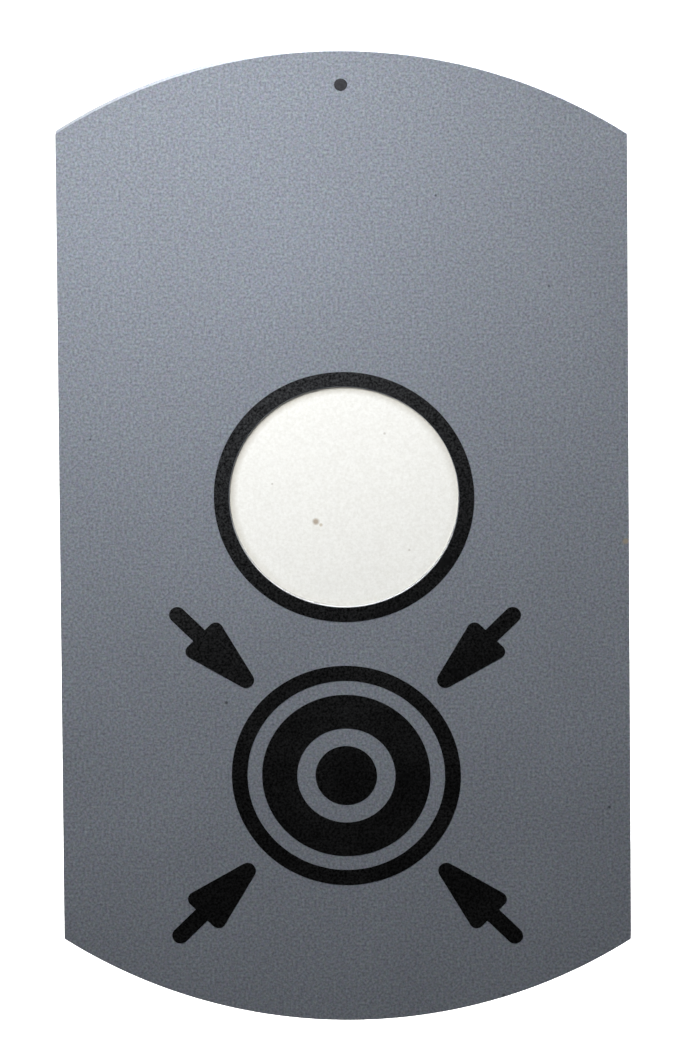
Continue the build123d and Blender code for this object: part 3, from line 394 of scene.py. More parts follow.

# %% [markdown]
# ## Black ink
# The rings, the target and the arrows are pad-printed with a matt black ink. The film is thinner
# than a hair, so it follows the coating's grain, and its gloss changes from grain to grain. That
# gives it a faint sparkle in the render. The sparkle rides on a linked specular level, which a
# glTF copy does not carry, so there the ink has one even gloss.

# %% Ink
ink, ink_parts = finish("matt_pad_printing_ink", "#020202", "#050505", 0.32, grain=0.42,
                        depth=0.05, tint=1.0, patch=9.0, wear=0.05)
sparkle = add(ink_parts["tree"], "ShaderNodeMapRange", {
    "Value": ink_parts["fine"], "From Min": 0.35, "From Max": 0.65,
    "To Min": 0.12, "To Max": 0.92})
ink_parts["tree"].links.new(sparkle.outputs[0], ink_parts["shader"].inputs["Specular IOR Level"])
print("ink ready")

# %% [markdown]
# ## Prints, by Geometry Nodes
# Nested circles filled together alternate between ink and bare plate, which is just what a
# target is. An arrow is one closed line of seven points: its tip, the two corners of its head,
# the neck and the tail. Each corner is rounded by its own amount, and the arrow is laid four
# times around the target, each turned a quarter turn further.

# %% Rings
def rings_tree(count):
    """Nested filled circles around one centre; from the second inwards they alternate."""
    labels = [f"Radius {i + 1}" for i in range(count)]
    tree, given, out = tree_with(f"rings_{count}", {
        **dict.fromkeys(labels + ["Centre Z", "Rear Y", "Thickness"], float), "Ink": bpy.types.Material})
    loops = [add(tree, "GeometryNodeCurvePrimitiveCircle", {
        "Resolution": 144, "Radius": given.outputs[label]}) for label in labels]
    nested = add(tree, "GeometryNodeJoinGeometry", {0: loops})
    solid = solid_from(tree, nested, given.outputs["Thickness"])
    placed = stand_up(tree, solid, given.outputs["Rear Y"], given.outputs["Centre Z"])
    end_tree(tree, out, placed, given.outputs["Ink"])
    return tree


target_low, target_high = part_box("target_print")
target_z = (target_low.z + target_high.z) / 2
print_depth = target_high.y - target_low.y
target_radii = (5.41, 8.65, 14.82, 17.40, 20.16)
target = grow("printed_target", rings_tree(5), {
    **{f"Radius {i + 1}": r * MM for i, r in enumerate(target_radii)},
    "Centre Z": target_z, "Rear Y": front_y, "Thickness": print_depth, "Ink": ink})
ring_low, ring_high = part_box("window_ring_print")
window_ring = grow("printed_window_ring", rings_tree(2), {
    "Radius 1": 20.25 * MM, "Radius 2": (ring_high.x - ring_low.x) / 2,
    "Centre Z": window_z, "Rear Y": front_y, "Thickness": print_depth, "Ink": ink})


# %% Arrows
def arrow_tree():
    labels = ("Point", "Head End", "Head Half Width", "Stem Half Width", "Tail", "Tip Round",
              "Head Round", "Centre Z", "Rear Y", "Thickness")
    tree, given, out = tree_with("four_arrows", {
        **dict.fromkeys(labels, float), "Arrows": int, "Ink": bpy.types.Material})
    size = given.outputs
    point, end, tail = size["Point"], size["Head End"], size["Tail"]
    head, stem = size["Head Half Width"], size["Stem Half Width"]
    head_low = add(tree, "ShaderNodeMath", {0: head, 1: -1.0}, operation="MULTIPLY")
    stem_low = add(tree, "ShaderNodeMath", {0: stem, 1: -1.0}, operation="MULTIPLY")
    tip, corner = size["Tip Round"], size["Head Round"]
    # point, head corner, neck, tail, tail, neck, head corner
    index = add(tree, "GeometryNodeInputIndex")
    x = add(tree, "GeometryNodeIndexSwitch", {
        "Index": index, 1: point, 2: end, 3: end, 4: tail, 5: tail, 6: end, 7: end}, data_type="FLOAT")
    y = add(tree, "GeometryNodeIndexSwitch", {
        "Index": index, 1: 0.0, 2: head_low, 3: stem_low, 4: stem_low, 5: stem, 6: stem, 7: head},
        data_type="FLOAT")
    bend = add(tree, "GeometryNodeIndexSwitch", {
        "Index": index, 1: tip, 2: corner, 3: 0.0, 4: stem, 5: stem, 6: 0.0, 7: corner},
        data_type="FLOAT")
    ring = add(tree, "GeometryNodeMeshCircle", {"Vertices": 7})
    spot = add(tree, "ShaderNodeCombineXYZ", {"X": x, "Y": y})
    laid = add(tree, "GeometryNodeSetPosition", {"Geometry": ring, "Position": spot})
    line = add(tree, "GeometryNodeMeshToCurve", {"Mesh": laid})
    line = add(tree, "GeometryNodeFilletCurve", {
        "Curve": line, "Count": 10, "Radius": bend, "Limit Radius": True}, mode="POLY")
    solid = solid_from(tree, line, size["Thickness"])
    # one copy at each point of a line without length, each turned one step further
    posts = add(tree, "GeometryNodeMeshLine", {"Count": size["Arrows"], "Offset": (0, 0, 0)})
    step = add(tree, "ShaderNodeMath", {0: 2 * math.pi, 1: size["Arrows"]}, operation="DIVIDE")
    count = add(tree, "ShaderNodeMath", {0: index, 1: 0.5}, operation="ADD")
    turn = add(tree, "ShaderNodeMath", {0: count, 1: step}, operation="MULTIPLY")
    turned = add(tree, "ShaderNodeCombineXYZ", {"Z": turn})
    copies = add(tree, "GeometryNodeInstanceOnPoints", {
        "Points": posts, "Instance": solid, "Rotation": turned})
    placed = stand_up(tree, copies, size["Rear Y"], size["Centre Z"])
    end_tree(tree, out, placed, size["Ink"])
    return tree


head_end = 36.35
head_half = 4.55
arrows = grow("printed_arrows", arrow_tree(), {
    "Point": (head_end - head_half / 0.264) * MM, "Head End": head_end * MM,
    "Head Half Width": head_half * MM, "Stem Half Width": 1.45 * MM, "Tail": 43.15 * MM,
    "Tip Round": 1.45 * MM, "Head Round": 1.3 * MM, "Centre Z": target_z,
    "Rear Y": front_y, "Thickness": print_depth, "Arrows": 4, "Ink": ink})

for piece, node in ((target, "target_print"), (window_ring, "window_ring_print"),
                    (arrows, "arrow_prints")):
    tidy_mesh(piece)
    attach(piece, "plate")
    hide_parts(node)

# %% [markdown]
# ## The other finishes
# Each finish below is named for what the part is made of and how its surface came about:
# moulded plastics keep the fine spark-eroded grain of their mould, castings are rougher, rubber
# is dull, plated steel is bright with a faint blue-grey haze, turned brass keeps fine turning marks.

# %% Lens plastic
# Opal polycarbonate, moulded with a fine grain: it scatters light, so the disc looks almost white.
lens_plastic, lens_parts = finish("opal_polycarbonate", "#E5E5E1", "#D5D4CE", 0.42, grain=0.45,
                                  depth=0.022, tint=0.8, patch=16.0, wear=0.04)
lens_shader = lens_parts["shader"]
lens_shader.inputs["Subsurface Weight"].default_value = 0.15
lens_shader.inputs["Subsurface Radius"].default_value = (0.0012, 0.0012, 0.0011)
lens_shader.inputs["IOR"].default_value = 1.585
lens_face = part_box("diffuser_lens")[0].y
for x, z, size, shade, share in ((-5.0, -4.6, 0.75, "#8D7960", 0.75), (-4.1, -5.2, 0.4, "#A89878", 0.6),
                                 (7.2, 11.5, 0.3, "#9A9488", 0.5), (-12.6, 2.3, 0.25, "#8F8A80", 0.5),
                                 (11.4, -9.8, 0.28, "#A39D92", 0.5)):
    speck(lens_parts, (x * MM, lens_face, window_z + z * MM), size, shade, share)

# %% Painted shade in the recess
# Painted shade: the lens is darkened near its rim, in the corner of the recess, most at the upper left,
# where the plate's edge shades it.
from_centre = add(lens_parts["tree"], "ShaderNodeVectorMath", {
    0: lens_parts["place"].outputs["Object"], 1: (0.0, lens_face, window_z)}, operation="DISTANCE")
near_rim = add(lens_parts["tree"], "ShaderNodeMapRange", {
    "Value": from_centre.outputs["Value"], "From Min": 18.6 * MM, "From Max": 20.2 * MM})
upwards = add(lens_parts["tree"], "ShaderNodeVectorMath", {
    0: lens_parts["place"].outputs["Object"], 1: (-0.45, 0.0, 0.89)}, operation="DOT_PRODUCT")
# How much painted shade: most at the upper left, least at the lower right.
upper_left_shade = add(lens_parts["tree"], "ShaderNodeMapRange", {
    "Value": upwards.outputs["Value"], "From Min": 0.89 * window_z - 16 * MM,
    "From Max": 0.89 * window_z + 20 * MM, "To Min": 0.2, "To Max": 0.75})
painted_recess_shade = add(lens_parts["tree"], "ShaderNodeMath", {
    0: near_rim, 1: upper_left_shade}, operation="MULTIPLY")
# This colour is painted shade, darkest near the rim at the upper left of the recess.
tint_by(lens_parts, painted_recess_shade, "#8F8672")

# %% Plastics, rubber and castings
table = {
    # name: colour, shade, roughness, metallic, grain, depth, tint, patch, wear
    "clear_lamp_glass": ("#E9EFEE", "#DDE6E4", 0.06, 0.0, 3.0, 0.001, 0.2, 20.0, 0.02),
    "white_reflector_abs": ("#F2F1EC", "#E4E2DA", 0.30, 0.0, 0.4, 0.004, 0.3, 10.0, 0.04),
    "led_phosphor_silicone": ("#E8C84A", "#D9B437", 0.22, 0.0, 0.2, 0.004, 0.5, 2.0, 0.04),
    "black_moulded_nylon": ("#17181A", "#25272A", 0.48, 0.0, 0.35, 0.010, 0.5, 10.0, 0.06),
    "grey_painted_casting": ("#4A4D52", "#3A3D42", 0.50, 0.0, 0.8, 0.035, 0.6, 18.0, 0.06),
    "black_powder_coated_casting": ("#232528", "#2E3135", 0.55, 0.0, 0.7, 0.040, 0.6, 20.0, 0.07),
    "black_epdm_rubber": ("#151515", "#202020", 0.72, 0.0, 0.5, 0.008, 0.5, 8.0, 0.06),
    "zinc_plated_steel": ("#B9BDC2", "#9EA4AC", 0.30, 1.0, 0.3, 0.003, 0.5, 5.0, 0.08),
    "stainless_steel": ("#C3C4C6", "#ACAEB1", 0.24, 1.0, 0.25, 0.003, 0.5, 6.0, 0.07),
    "turned_brass": ("#C9A24E", "#B58A3A", 0.24, 1.0, 0.2, 0.003, 0.5, 6.0, 0.07),
    "black_acetal": ("#1B1C1E", "#26282B", 0.30, 0.0, 0.3, 0.004, 0.4, 8.0, 0.05),
    "black_switch_thermoset": ("#1E1F22", "#2B2D30", 0.40, 0.0, 0.3, 0.008, 0.5, 6.0, 0.06),
    "green_solder_mask": ("#1F5A34", "#17482A", 0.28, 0.0, 0.5, 0.004, 0.5, 7.0, 0.05),
    "cream_nylon_connector": ("#E3DBC3", "#D4CBB0", 0.42, 0.0, 0.3, 0.006, 0.5, 4.0, 0.05),
    "grey_polyamide_block": ("#8E9296", "#7E8286", 0.45, 0.0, 0.35, 0.010, 0.5, 6.0, 0.05),
    "charcoal_nylon_plug": ("#2C2C31", "#060608", 0.55, 0.0, 0.6, 0.035, 1.0, 3.0, 0.05),
    "black_oxide_steel": ("#2A2B2D", "#1E1F21", 0.38, 0.8, 0.3, 0.004, 0.5, 4.0, 0.06),
    "red_moulded_acetal": ("#B3231F", "#9C1D1A", 0.30, 0.0, 0.3, 0.003, 0.4, 3.0, 0.05),
    "red_pvc_sleeve": ("#A82020", "#8E1818", 0.38, 0.0, 0.4, 0.004, 0.4, 5.0, 0.05),
    "blue_pvc_sleeve": ("#1F3F9C", "#183283", 0.38, 0.0, 0.4, 0.004, 0.4, 5.0, 0.05),
}
finishes = {}
for name, values in table.items():
    finishes[name] = finish(name, *values[:3], metallic=values[3], grain=values[4],
                            depth=values[5], tint=values[6], patch=values[7], wear=values[8])
print("finishes:", len(finishes))

# %% [markdown]
# ## Which finish goes on which part
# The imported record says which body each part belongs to. A part whose CAD shape is right keeps
# its shape. No real casting or moulding has a perfect edge, so a copy of its mesh is merged, its
# flat faces are joined again, and a Bevel modifier breaks each edge by a fraction of a millimetre.
# Broken edges catch a thin line of light, which is most of what makes a part look made.

# %% Bodies, slots and finishes
record = frame["record"]
body_of = {node: body for body, members in record["behaviour"]["bodies"].items() for node in members}
finish_of = {
    "plate_studs": "zinc_plated_steel", "lens_gasket": "black_epdm_rubber",
    "access_plug": "charcoal_nylon_plug",
    "lens_ring": "black_moulded_nylon", "hinge_bracket": "stainless_steel",
    "striker": "black_acetal", "spring_seats": "black_acetal", "plunger": "black_acetal",
    "plunger_clip": "stainless_steel", "switch_lever": "stainless_steel",
    "switch_button": "red_moulded_acetal", "chassis_tray": "grey_painted_casting",
    "stop_bumpers": "black_epdm_rubber", "rest_bumpers": "black_epdm_rubber",
    "hinge_pin": "stainless_steel", "pin_clips": "stainless_steel",
    "plunger_bush": "turned_brass", "switch_body": "black_switch_thermoset",
    "switch_tabs": "turned_brass", "switch_bracket": "zinc_plated_steel",
    "switch_standoffs": "turned_brass", "lamp_glass_seal": "black_epdm_rubber",
    "lamp_glass": "clear_lamp_glass", "reflector": "white_reflector_abs",
    "led_board": "green_solder_mask", "lamp_connector": "cream_nylon_connector",
    "back_box": "black_powder_coated_casting", "box_gasket": "black_epdm_rubber",
    "wall_gasket": "black_epdm_rubber", "cable_grommet": "black_epdm_rubber",
    "terminal_block": "grey_polyamide_block", "terminal_screws": "zinc_plated_steel",
    "lamp_leads": "red_pvc_sleeve", "switch_leads": "blue_pvc_sleeve",
}


def settle(piece, node):
    """Ends every piece the same way: it rides its CAD body and stands for the node, which is hidden."""
    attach(piece, body_of[node])
    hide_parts(node)


def merged_copy(node, join_flat=True):
    """The CAD node's loose triangles as one closed form, with flat faces joined again."""
    form = bmesh.new()
    form.from_mesh(nodes[node].data)
    bmesh.ops.remove_doubles(form, verts=form.verts, dist=0.000002)
    if join_flat:
        bmesh.ops.dissolve_limit(form, angle_limit=math.radians(0.5), verts=form.verts,
                                 edges=form.edges, use_dissolve_boundaries=False)
    return form


def evaluated(piece):
    """Applies the piece's modifiers, so that only a plain mesh is left."""
    graph = bpy.context.evaluated_depsgraph_get()
    mesh = bpy.data.meshes.new_from_object(piece.evaluated_get(graph), depsgraph=graph)
    piece.modifiers.clear()
    piece.data = mesh
    return piece


def soften(node, name, width, material, segments=2, angle=32):
    """A CAD node's shape with its edges broken by width millimetres, as a piece of its own."""
    form = merged_copy(node)
    mesh = bpy.data.meshes.new(name)
    form.to_mesh(mesh)
    form.free()
    mesh.materials.append(material)
    piece = bpy.data.objects.new(name, mesh)
    bpy.context.scene.collection.objects.link(piece)
    bevel = piece.modifiers.new("broken_edge", "BEVEL")
    bevel.width, bevel.segments = width * MM, segments
    bevel.limit_method, bevel.angle_limit = "ANGLE", math.radians(angle)
    bevel.harden_normals = False
    evaluated(piece)
    piece.data.shade_smooth()
    piece.data.set_sharp_from_angle(angle=math.radians(40))
    flat = piece.modifiers.new("even_shading", "WEIGHTED_NORMAL")
    flat.keep_sharp = True
    evaluated(piece)
    settle(piece, node)
    return piece


# %% Broken edges
edges = {  # node: piece name, width of the broken edge in millimetres
    "chassis_tray": ("cast_chassis_tray", 0.35), "back_box": ("cast_back_box", 0.5),
    "box_gasket": ("flange_gasket", 0.2), "wall_gasket": ("foam_wall_gasket", 0.35),
    "cable_grommet": ("rubber_cable_grommet", 0.35), "lens_ring": ("lens_clamp_ring", 0.3),
    "lens_gasket": ("lens_seal", 0.1), "hinge_bracket": ("sheet_hinge_bracket", 0.15),
    "striker": ("striker_pad", 0.2), "spring_seats": ("spring_seat_bosses", 0.3),
    "plunger": ("switch_plunger", 0.2), "plunger_bush": ("plunger_guide_bush", 0.2),
    "plunger_clip": ("plunger_retaining_clip", 0.1), "pin_clips": ("pin_retaining_clips", 0.1),
    "switch_body": ("microswitch_body", 0.12), "switch_button": ("microswitch_button", 0.08),
    "switch_lever": ("microswitch_lever", 0.06), "switch_bracket": ("microswitch_bracket", 0.15),
    "switch_tabs": ("solder_tabs", 0.08), "switch_standoffs": ("hex_standoffs", 0.15),
    "lamp_glass": ("lamp_window_glass", 0.2), "lamp_glass_seal": ("lamp_window_seal", 0.1),
    "reflector": ("lamp_reflector_cup", 0.15), "led_board": ("lamp_circuit_board", 0.1),
    "lamp_connector": ("board_connector", 0.15), "terminal_block": ("wire_terminal_block", 0.3),
    "terminal_screws": ("wire_clamp_screws", 0.08), "plate_studs": ("welded_plate_studs", 0.12),
    "stop_bumpers": ("stop_bumper_pads", 0.1), "rest_bumpers": ("rest_bumper_pads", 0.1),
    "hinge_pin": ("hinge_cross_pin", 0.08), "access_plug": ("access_hole_plug", 0.12),
}
softened = {node: soften(node, name, width, finishes[finish_of[node]][0])
            for node, (name, width) in edges.items()}
softened["diffuser_lens"] = soften("diffuser_lens", "opal_lamp_lens", 0.08, lens_plastic, 2)
for node in ("lamp_leads", "switch_leads"):
    for slot in nodes[node].material_slots:
        slot.material = finishes[finish_of[node]][0]
print("softened:", len(softened), "triangles:",
      sum(len(f.vertices) - 2 for p in softened.values() for f in p.data.polygons))

# %% [markdown]
# ## Screws and nuts, by Geometry Nodes
# A screw is the same shape wherever it goes, so one tree makes it and lays a copy at each place
# where the CAD model has one, turned so that its Z axis points the asked way. A stack of rings,
# each with its own height and radius, is joined into the head and shank. A hexagon is cut out of
# the head for the key, and a fine helix stands for the thread. A nut is a hexagon with its
# corners turned down, which is the overlap of a hexagonal bar and a chamfered disc.

# %% Places of repeated parts
def islands(node):
    """The (lowest, highest) corners of each separate solid in a CAD node."""
    form = merged_copy(node, join_flat=False)
    form.verts.ensure_lookup_table()
    left, found = set(form.verts), []
    while left:
        queue = [left.pop()]
        group = list(queue)
        while queue:
            for edge in queue.pop().link_edges:
                for vert in edge.verts:
                    if vert in left:
                        left.remove(vert)
                        queue.append(vert)
                        group.append(vert)
        corners = [[pick(v.co[i] for v in group) for i in range(3)] for pick in (min, max)]
        found.append((Vector(corners[0]), Vector(corners[1])))
    form.free()
    return sorted(found, key=lambda pair: tuple(pair[0]))


def stack(tree, rings, radius, height, segments=32):
    """A turned shape along Z, closed at both ends. Each ring is a share of the radius and a share
    of the height."""
    index = add(tree, "GeometryNodeInputIndex")
    wide, high = [add(tree, "GeometryNodeIndexSwitch", {"Index": index, **dict(enumerate(row, 1))},
                      data_type="FLOAT") for row in zip(*rings)]
    z = add(tree, "ShaderNodeMath", {0: high, 1: height}, operation="MULTIPLY")
    spot = add(tree, "ShaderNodeCombineXYZ", {"Z": z})
    posts = add(tree, "GeometryNodeMeshLine", {"Count": len(rings), "Offset": (0, 0, 0.001)})
    line = add(tree, "GeometryNodeMeshToCurve", {"Mesh": posts})
    line = add(tree, "GeometryNodeSetPosition", {"Geometry": line, "Position": spot})
    ring = add(tree, "GeometryNodeCurvePrimitiveCircle", {"Resolution": segments, "Radius": radius})
    return add(tree, "GeometryNodeCurveToMesh", {
        "Curve": line, "Profile Curve": ring, "Scale": wide, "Fill Caps": True})


def hexagon_bar(tree, flats, low, high):
    """A hexagonal bar along Z between two heights."""
    corner = add(tree, "ShaderNodeMath", {0: flats, 1: 2 * math.cos(math.pi / 6)}, operation="DIVIDE")
    tall = add(tree, "ShaderNodeMath", {0: high, 1: low}, operation="SUBTRACT")
    bar = add(tree, "GeometryNodeMeshCylinder", {"Vertices": 6, "Radius": corner, "Depth": tall})
    middle = add(tree, "ShaderNodeMath", {0: tall, 1: 0.5, 2: low}, operation="MULTIPLY_ADD")
    lift = add(tree, "ShaderNodeCombineXYZ", {"Z": middle})
    return add(tree, "GeometryNodeTransform", {"Geometry": bar, "Translation": lift})


# %% Screw tree
def screw_tree():
    labels = ("Shank Radius", "Head Radius", "Head Height", "Length", "Socket Flats", "Pitch")
    tree, given, out = tree_with("socket_screw", {
        **dict.fromkeys(labels, float), "Turn": Vector, "Metal": bpy.types.Material})
    size = given.outputs
    shank, length, pitch = size["Shank Radius"], size["Length"], size["Pitch"]
    head, tall = size["Head Radius"], size["Head Height"]
    cap = stack(tree, [(0.97, 0.0), (1.0, 0.08), (1.0, 0.55), (0.95, 0.76), (0.86, 0.92),
                       (0.72, 1.0)], head, tall)
    rod = stack(tree, [(0.7, -1.0), (1.0, -0.95), (1.0, 0.02)], shank, length)
    # the hexagonal socket is cut a little over half way down the head
    floor_z = add(tree, "ShaderNodeMath", {0: tall, 1: 0.4}, operation="MULTIPLY")
    over = add(tree, "ShaderNodeMath", {0: tall, 1: 1.3}, operation="MULTIPLY")
    key = hexagon_bar(tree, size["Socket Flats"], floor_z, over)
    cut = add(tree, "GeometryNodeMeshBoolean", {0: cap, 1: [key]}, operation="DIFFERENCE",
              solver="EXACT")
    # the thread is a fine ridge on a helix over the lower four fifths of the shank
    reach = add(tree, "ShaderNodeMath", {0: length, 1: 0.8}, operation="MULTIPLY")
    turns = add(tree, "ShaderNodeMath", {0: reach, 1: pitch}, operation="DIVIDE")
    helix = add(tree, "GeometryNodeCurveSpiral", {
        "Resolution": 20, "Rotations": turns, "Start Radius": shank, "End Radius": shank,
        "Height": reach})
    start = add(tree, "ShaderNodeMath", {0: length, 1: -0.92}, operation="MULTIPLY")
    lower = add(tree, "ShaderNodeCombineXYZ", {"Z": start})
    helix = add(tree, "GeometryNodeTransform", {"Geometry": helix, "Translation": lower})
    crest = add(tree, "ShaderNodeMath", {0: pitch, 1: 0.22}, operation="MULTIPLY")
    ridge = add(tree, "GeometryNodeCurvePrimitiveCircle", {"Resolution": 4, "Radius": crest})
    thread = add(tree, "GeometryNodeCurveToMesh", {
        "Curve": helix, "Profile Curve": ridge, "Fill Caps": True})
    whole = add(tree, "GeometryNodeJoinGeometry", {0: [cut, rod, thread]})
    copies = add(tree, "GeometryNodeInstanceOnPoints", {
        "Points": size["Places"], "Instance": whole, "Rotation": size["Turn"]})
    end_tree(tree, out, copies, size["Metal"])
    return tree


# %% Lay the screws
socket_screw = screw_tree()
thread_root, key_share = 0.93, 1.3  # shares of the thread's radius: its root, and the key's flats
screws = {  # node: name, finish, axis the head points along, shank and head radius, head height, pitch
    "board_screws": ("board_socket_screws", "zinc_plated_steel", 1, 1.25, 2.25, 1.8, 0.45),
    "block_screws": ("block_socket_screws", "zinc_plated_steel", -1, 1.25, 2.25, 1.8, 0.45),
    "bracket_screws": ("bracket_socket_screws", "zinc_plated_steel", 1, 1.5, 2.75, 2.0, 0.5),
    "lock_screw": ("plate_lock_screw", "black_oxide_steel", -1, 1.5, 2.3, 2.0, 0.5),
    "switch_screws": ("switch_socket_screws", "zinc_plated_steel", 0, 1.0, 1.9, 1.5, 0.4),
}
for node, (name, metal, way, shank, head, tall, pitch) in screws.items():
    solids = islands(node)
    size = solids[0][1] - solids[0][0]
    if way:
        turn = (math.pi / 2 * -way, 0.0, 0.0)
        seats = [Vector(((low.x + high.x) / 2, (high.y if way > 0 else low.y) - way * tall * MM,
                         (low.z + high.z) / 2)) for low, high in solids]
        length = size.y - tall * MM
    else:
        turn = (0.0, math.pi / 2, 0.0)
        seats = [Vector((high.x - tall * MM, (low.y + high.y) / 2, (low.z + high.z) / 2))
                 for low, high in solids]
        length = size.x - tall * MM
    piece = grow(name, socket_screw, {
        "Shank Radius": shank * thread_root * MM, "Head Radius": head * MM, "Head Height": tall * MM,
        "Length": length, "Socket Flats": shank * key_share * MM, "Pitch": pitch * MM, "Turn": turn,
        "Metal": finishes[metal][0]}, places=seats)
    tidy_mesh(piece)
    settle(piece, node)


# %% Nut tree
def nut_tree():
    labels = ("Flats", "Height", "Bore Radius")
    tree, given, out = tree_with("hex_nut", {
        **dict.fromkeys(labels, float), "Turn": Vector, "Metal": bpy.types.Material})
    size = given.outputs
    flats, tall = size["Flats"], size["Height"]
    bar = hexagon_bar(tree, flats, 0.0, tall)
    disc = stack(tree, [(0.49, -0.001), (0.6, 0.16), (0.6, 0.84), (0.49, 1.001)], flats, tall, 48)
    turned = add(tree, "GeometryNodeMeshBoolean", {"Mesh 2": [bar, disc]}, operation="INTERSECT",
                 solver="EXACT")
    through = add(tree, "ShaderNodeMath", {0: tall, 1: 4.0}, operation="MULTIPLY")
    bore = add(tree, "GeometryNodeMeshCylinder", {
        "Vertices": 32, "Radius": size["Bore Radius"], "Depth": through})
    holed = add(tree, "GeometryNodeMeshBoolean", {0: turned, 1: [bore]}, operation="DIFFERENCE",
                solver="EXACT")
    copies = add(tree, "GeometryNodeInstanceOnPoints", {
        "Points": size["Places"], "Instance": holed, "Rotation": size["Turn"]})
    end_tree(tree, out, copies, size["Metal"])
    return tree


# %% Lay the nuts
hex_nut = nut_tree()
nuts = {  # node: name, finish, bore radius, across flats, along X
    "lens_nuts": ("lens_ring_nuts", "zinc_plated_steel", 1.27, 5.0, False),
    "bracket_nuts": ("hinge_bracket_nuts", "zinc_plated_steel", 1.52, 5.5, False),
    "bush_nut": ("plunger_bush_nut", "turned_brass", 4.52, 12.0, False),
    "switch_nuts": ("switch_screw_nuts", "zinc_plated_steel", 1.02, 4.0, True),
}
for node, (name, metal, bore, flats, along_x) in nuts.items():
    solids = islands(node)
    size = solids[0][1] - solids[0][0]
    if along_x:
        turn, tall = (0.0, math.pi / 2, 0.0), size.x
        seats = [Vector((low.x, (low.y + high.y) / 2, (low.z + high.z) / 2)) for low, high in solids]
    else:
        turn, tall = (-math.pi / 2, 0.0, 0.0), size.y
        seats = [Vector(((low.x + high.x) / 2, low.y, (low.z + high.z) / 2)) for low, high in solids]
    piece = grow(name, hex_nut, {
        "Flats": flats * MM, "Height": tall, "Bore Radius": bore * MM, "Turn": turn,
        "Metal": finishes[metal][0]}, places=seats)
    tidy_mesh(piece)
    settle(piece, node)

# %% [markdown]
# ## Springs and bellows, by Geometry Nodes
# A compression spring is a wire on a helix whose last turns lie close, so that it stands square.
# The helix's height is eased along its length to close its ends. The plunger's rubber boot is a
# bellows: a tube whose radius rises and falls like a wave. Both shorten as the plate is pressed,
# towards the end that stays still; here they keep the length of the CAD model.

# %% Spring tree
def spring_tree():
    labels = ("Mean Radius", "Wire Radius", "Height", "Turns", "End Pitch")
    tree, given, out = tree_with("closed_end_spring", {
        **dict.fromkeys(labels, float), "Turn": Vector, "Metal": bpy.types.Material})
    size = given.outputs
    coil = add(tree, "GeometryNodeCurveSpiral", {
        "Resolution": 36, "Rotations": size["Turns"], "Start Radius": size["Mean Radius"],
        "End Radius": size["Mean Radius"], "Height": size["Height"]})
    # a smooth step is flat at both ends; some of it is mixed into an even climb to close the ends
    along = add(tree, "GeometryNodeSplineParameter")
    eased = add(tree, "ShaderNodeMapRange", {"Value": along}, interpolation_type="SMOOTHSTEP")
    climb = add(tree, "ShaderNodeMix", {0: size["End Pitch"], 2: eased, 3: along}, data_type="FLOAT")
    z = add(tree, "ShaderNodeMath", {0: climb, 1: size["Height"]}, operation="MULTIPLY")
    here = add(tree, "GeometryNodeInputPosition")
    apart = add(tree, "ShaderNodeSeparateXYZ", {0: here}).outputs
    spot = add(tree, "ShaderNodeCombineXYZ", {"X": apart["X"], "Y": apart["Y"], "Z": z})
    coil = add(tree, "GeometryNodeSetPosition", {"Geometry": coil, "Position": spot})
    wire = add(tree, "GeometryNodeCurvePrimitiveCircle", {
        "Resolution": 12, "Radius": size["Wire Radius"]})
    body = add(tree, "GeometryNodeCurveToMesh", {
        "Curve": coil, "Profile Curve": wire, "Fill Caps": True})
    copies = add(tree, "GeometryNodeInstanceOnPoints", {
        "Points": size["Places"], "Instance": body, "Rotation": size["Turn"]})
    end_tree(tree, out, copies, size["Metal"])
    return tree


# %% Lay the springs
spring = spring_tree()
springs = {  # node: name, wire radius, turns, joint that shortens it, share left at the stop
    "return_springs": ("plate_return_springs", 0.4, 6.5, "plate_press", 0.841),
    "plunger_spring": ("plunger_return_spring", 0.25, 5.5, "plunger_slide", 0.68),
}
for node, (name, wire, turns, joint, keep) in springs.items():
    solids = islands(node)
    low, high = solids[0]
    seats = [Vector(((a.x + b.x) / 2, b.y - wire * MM, (a.z + b.z) / 2)) for a, b in solids]
    piece = grow(name, spring, {
        "Mean Radius": (high.x - low.x) / 2 - wire * MM, "Wire Radius": wire * MM,
        "Height": high.y - low.y - 2 * wire * MM, "Turns": turns, "End Pitch": 0.45,
        "Turn": (math.pi / 2, 0.0, 0.0), "Metal": finishes["stainless_steel"][0]}, places=seats)
    tidy_mesh(piece)
    settle(piece, node)
    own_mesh(piece)


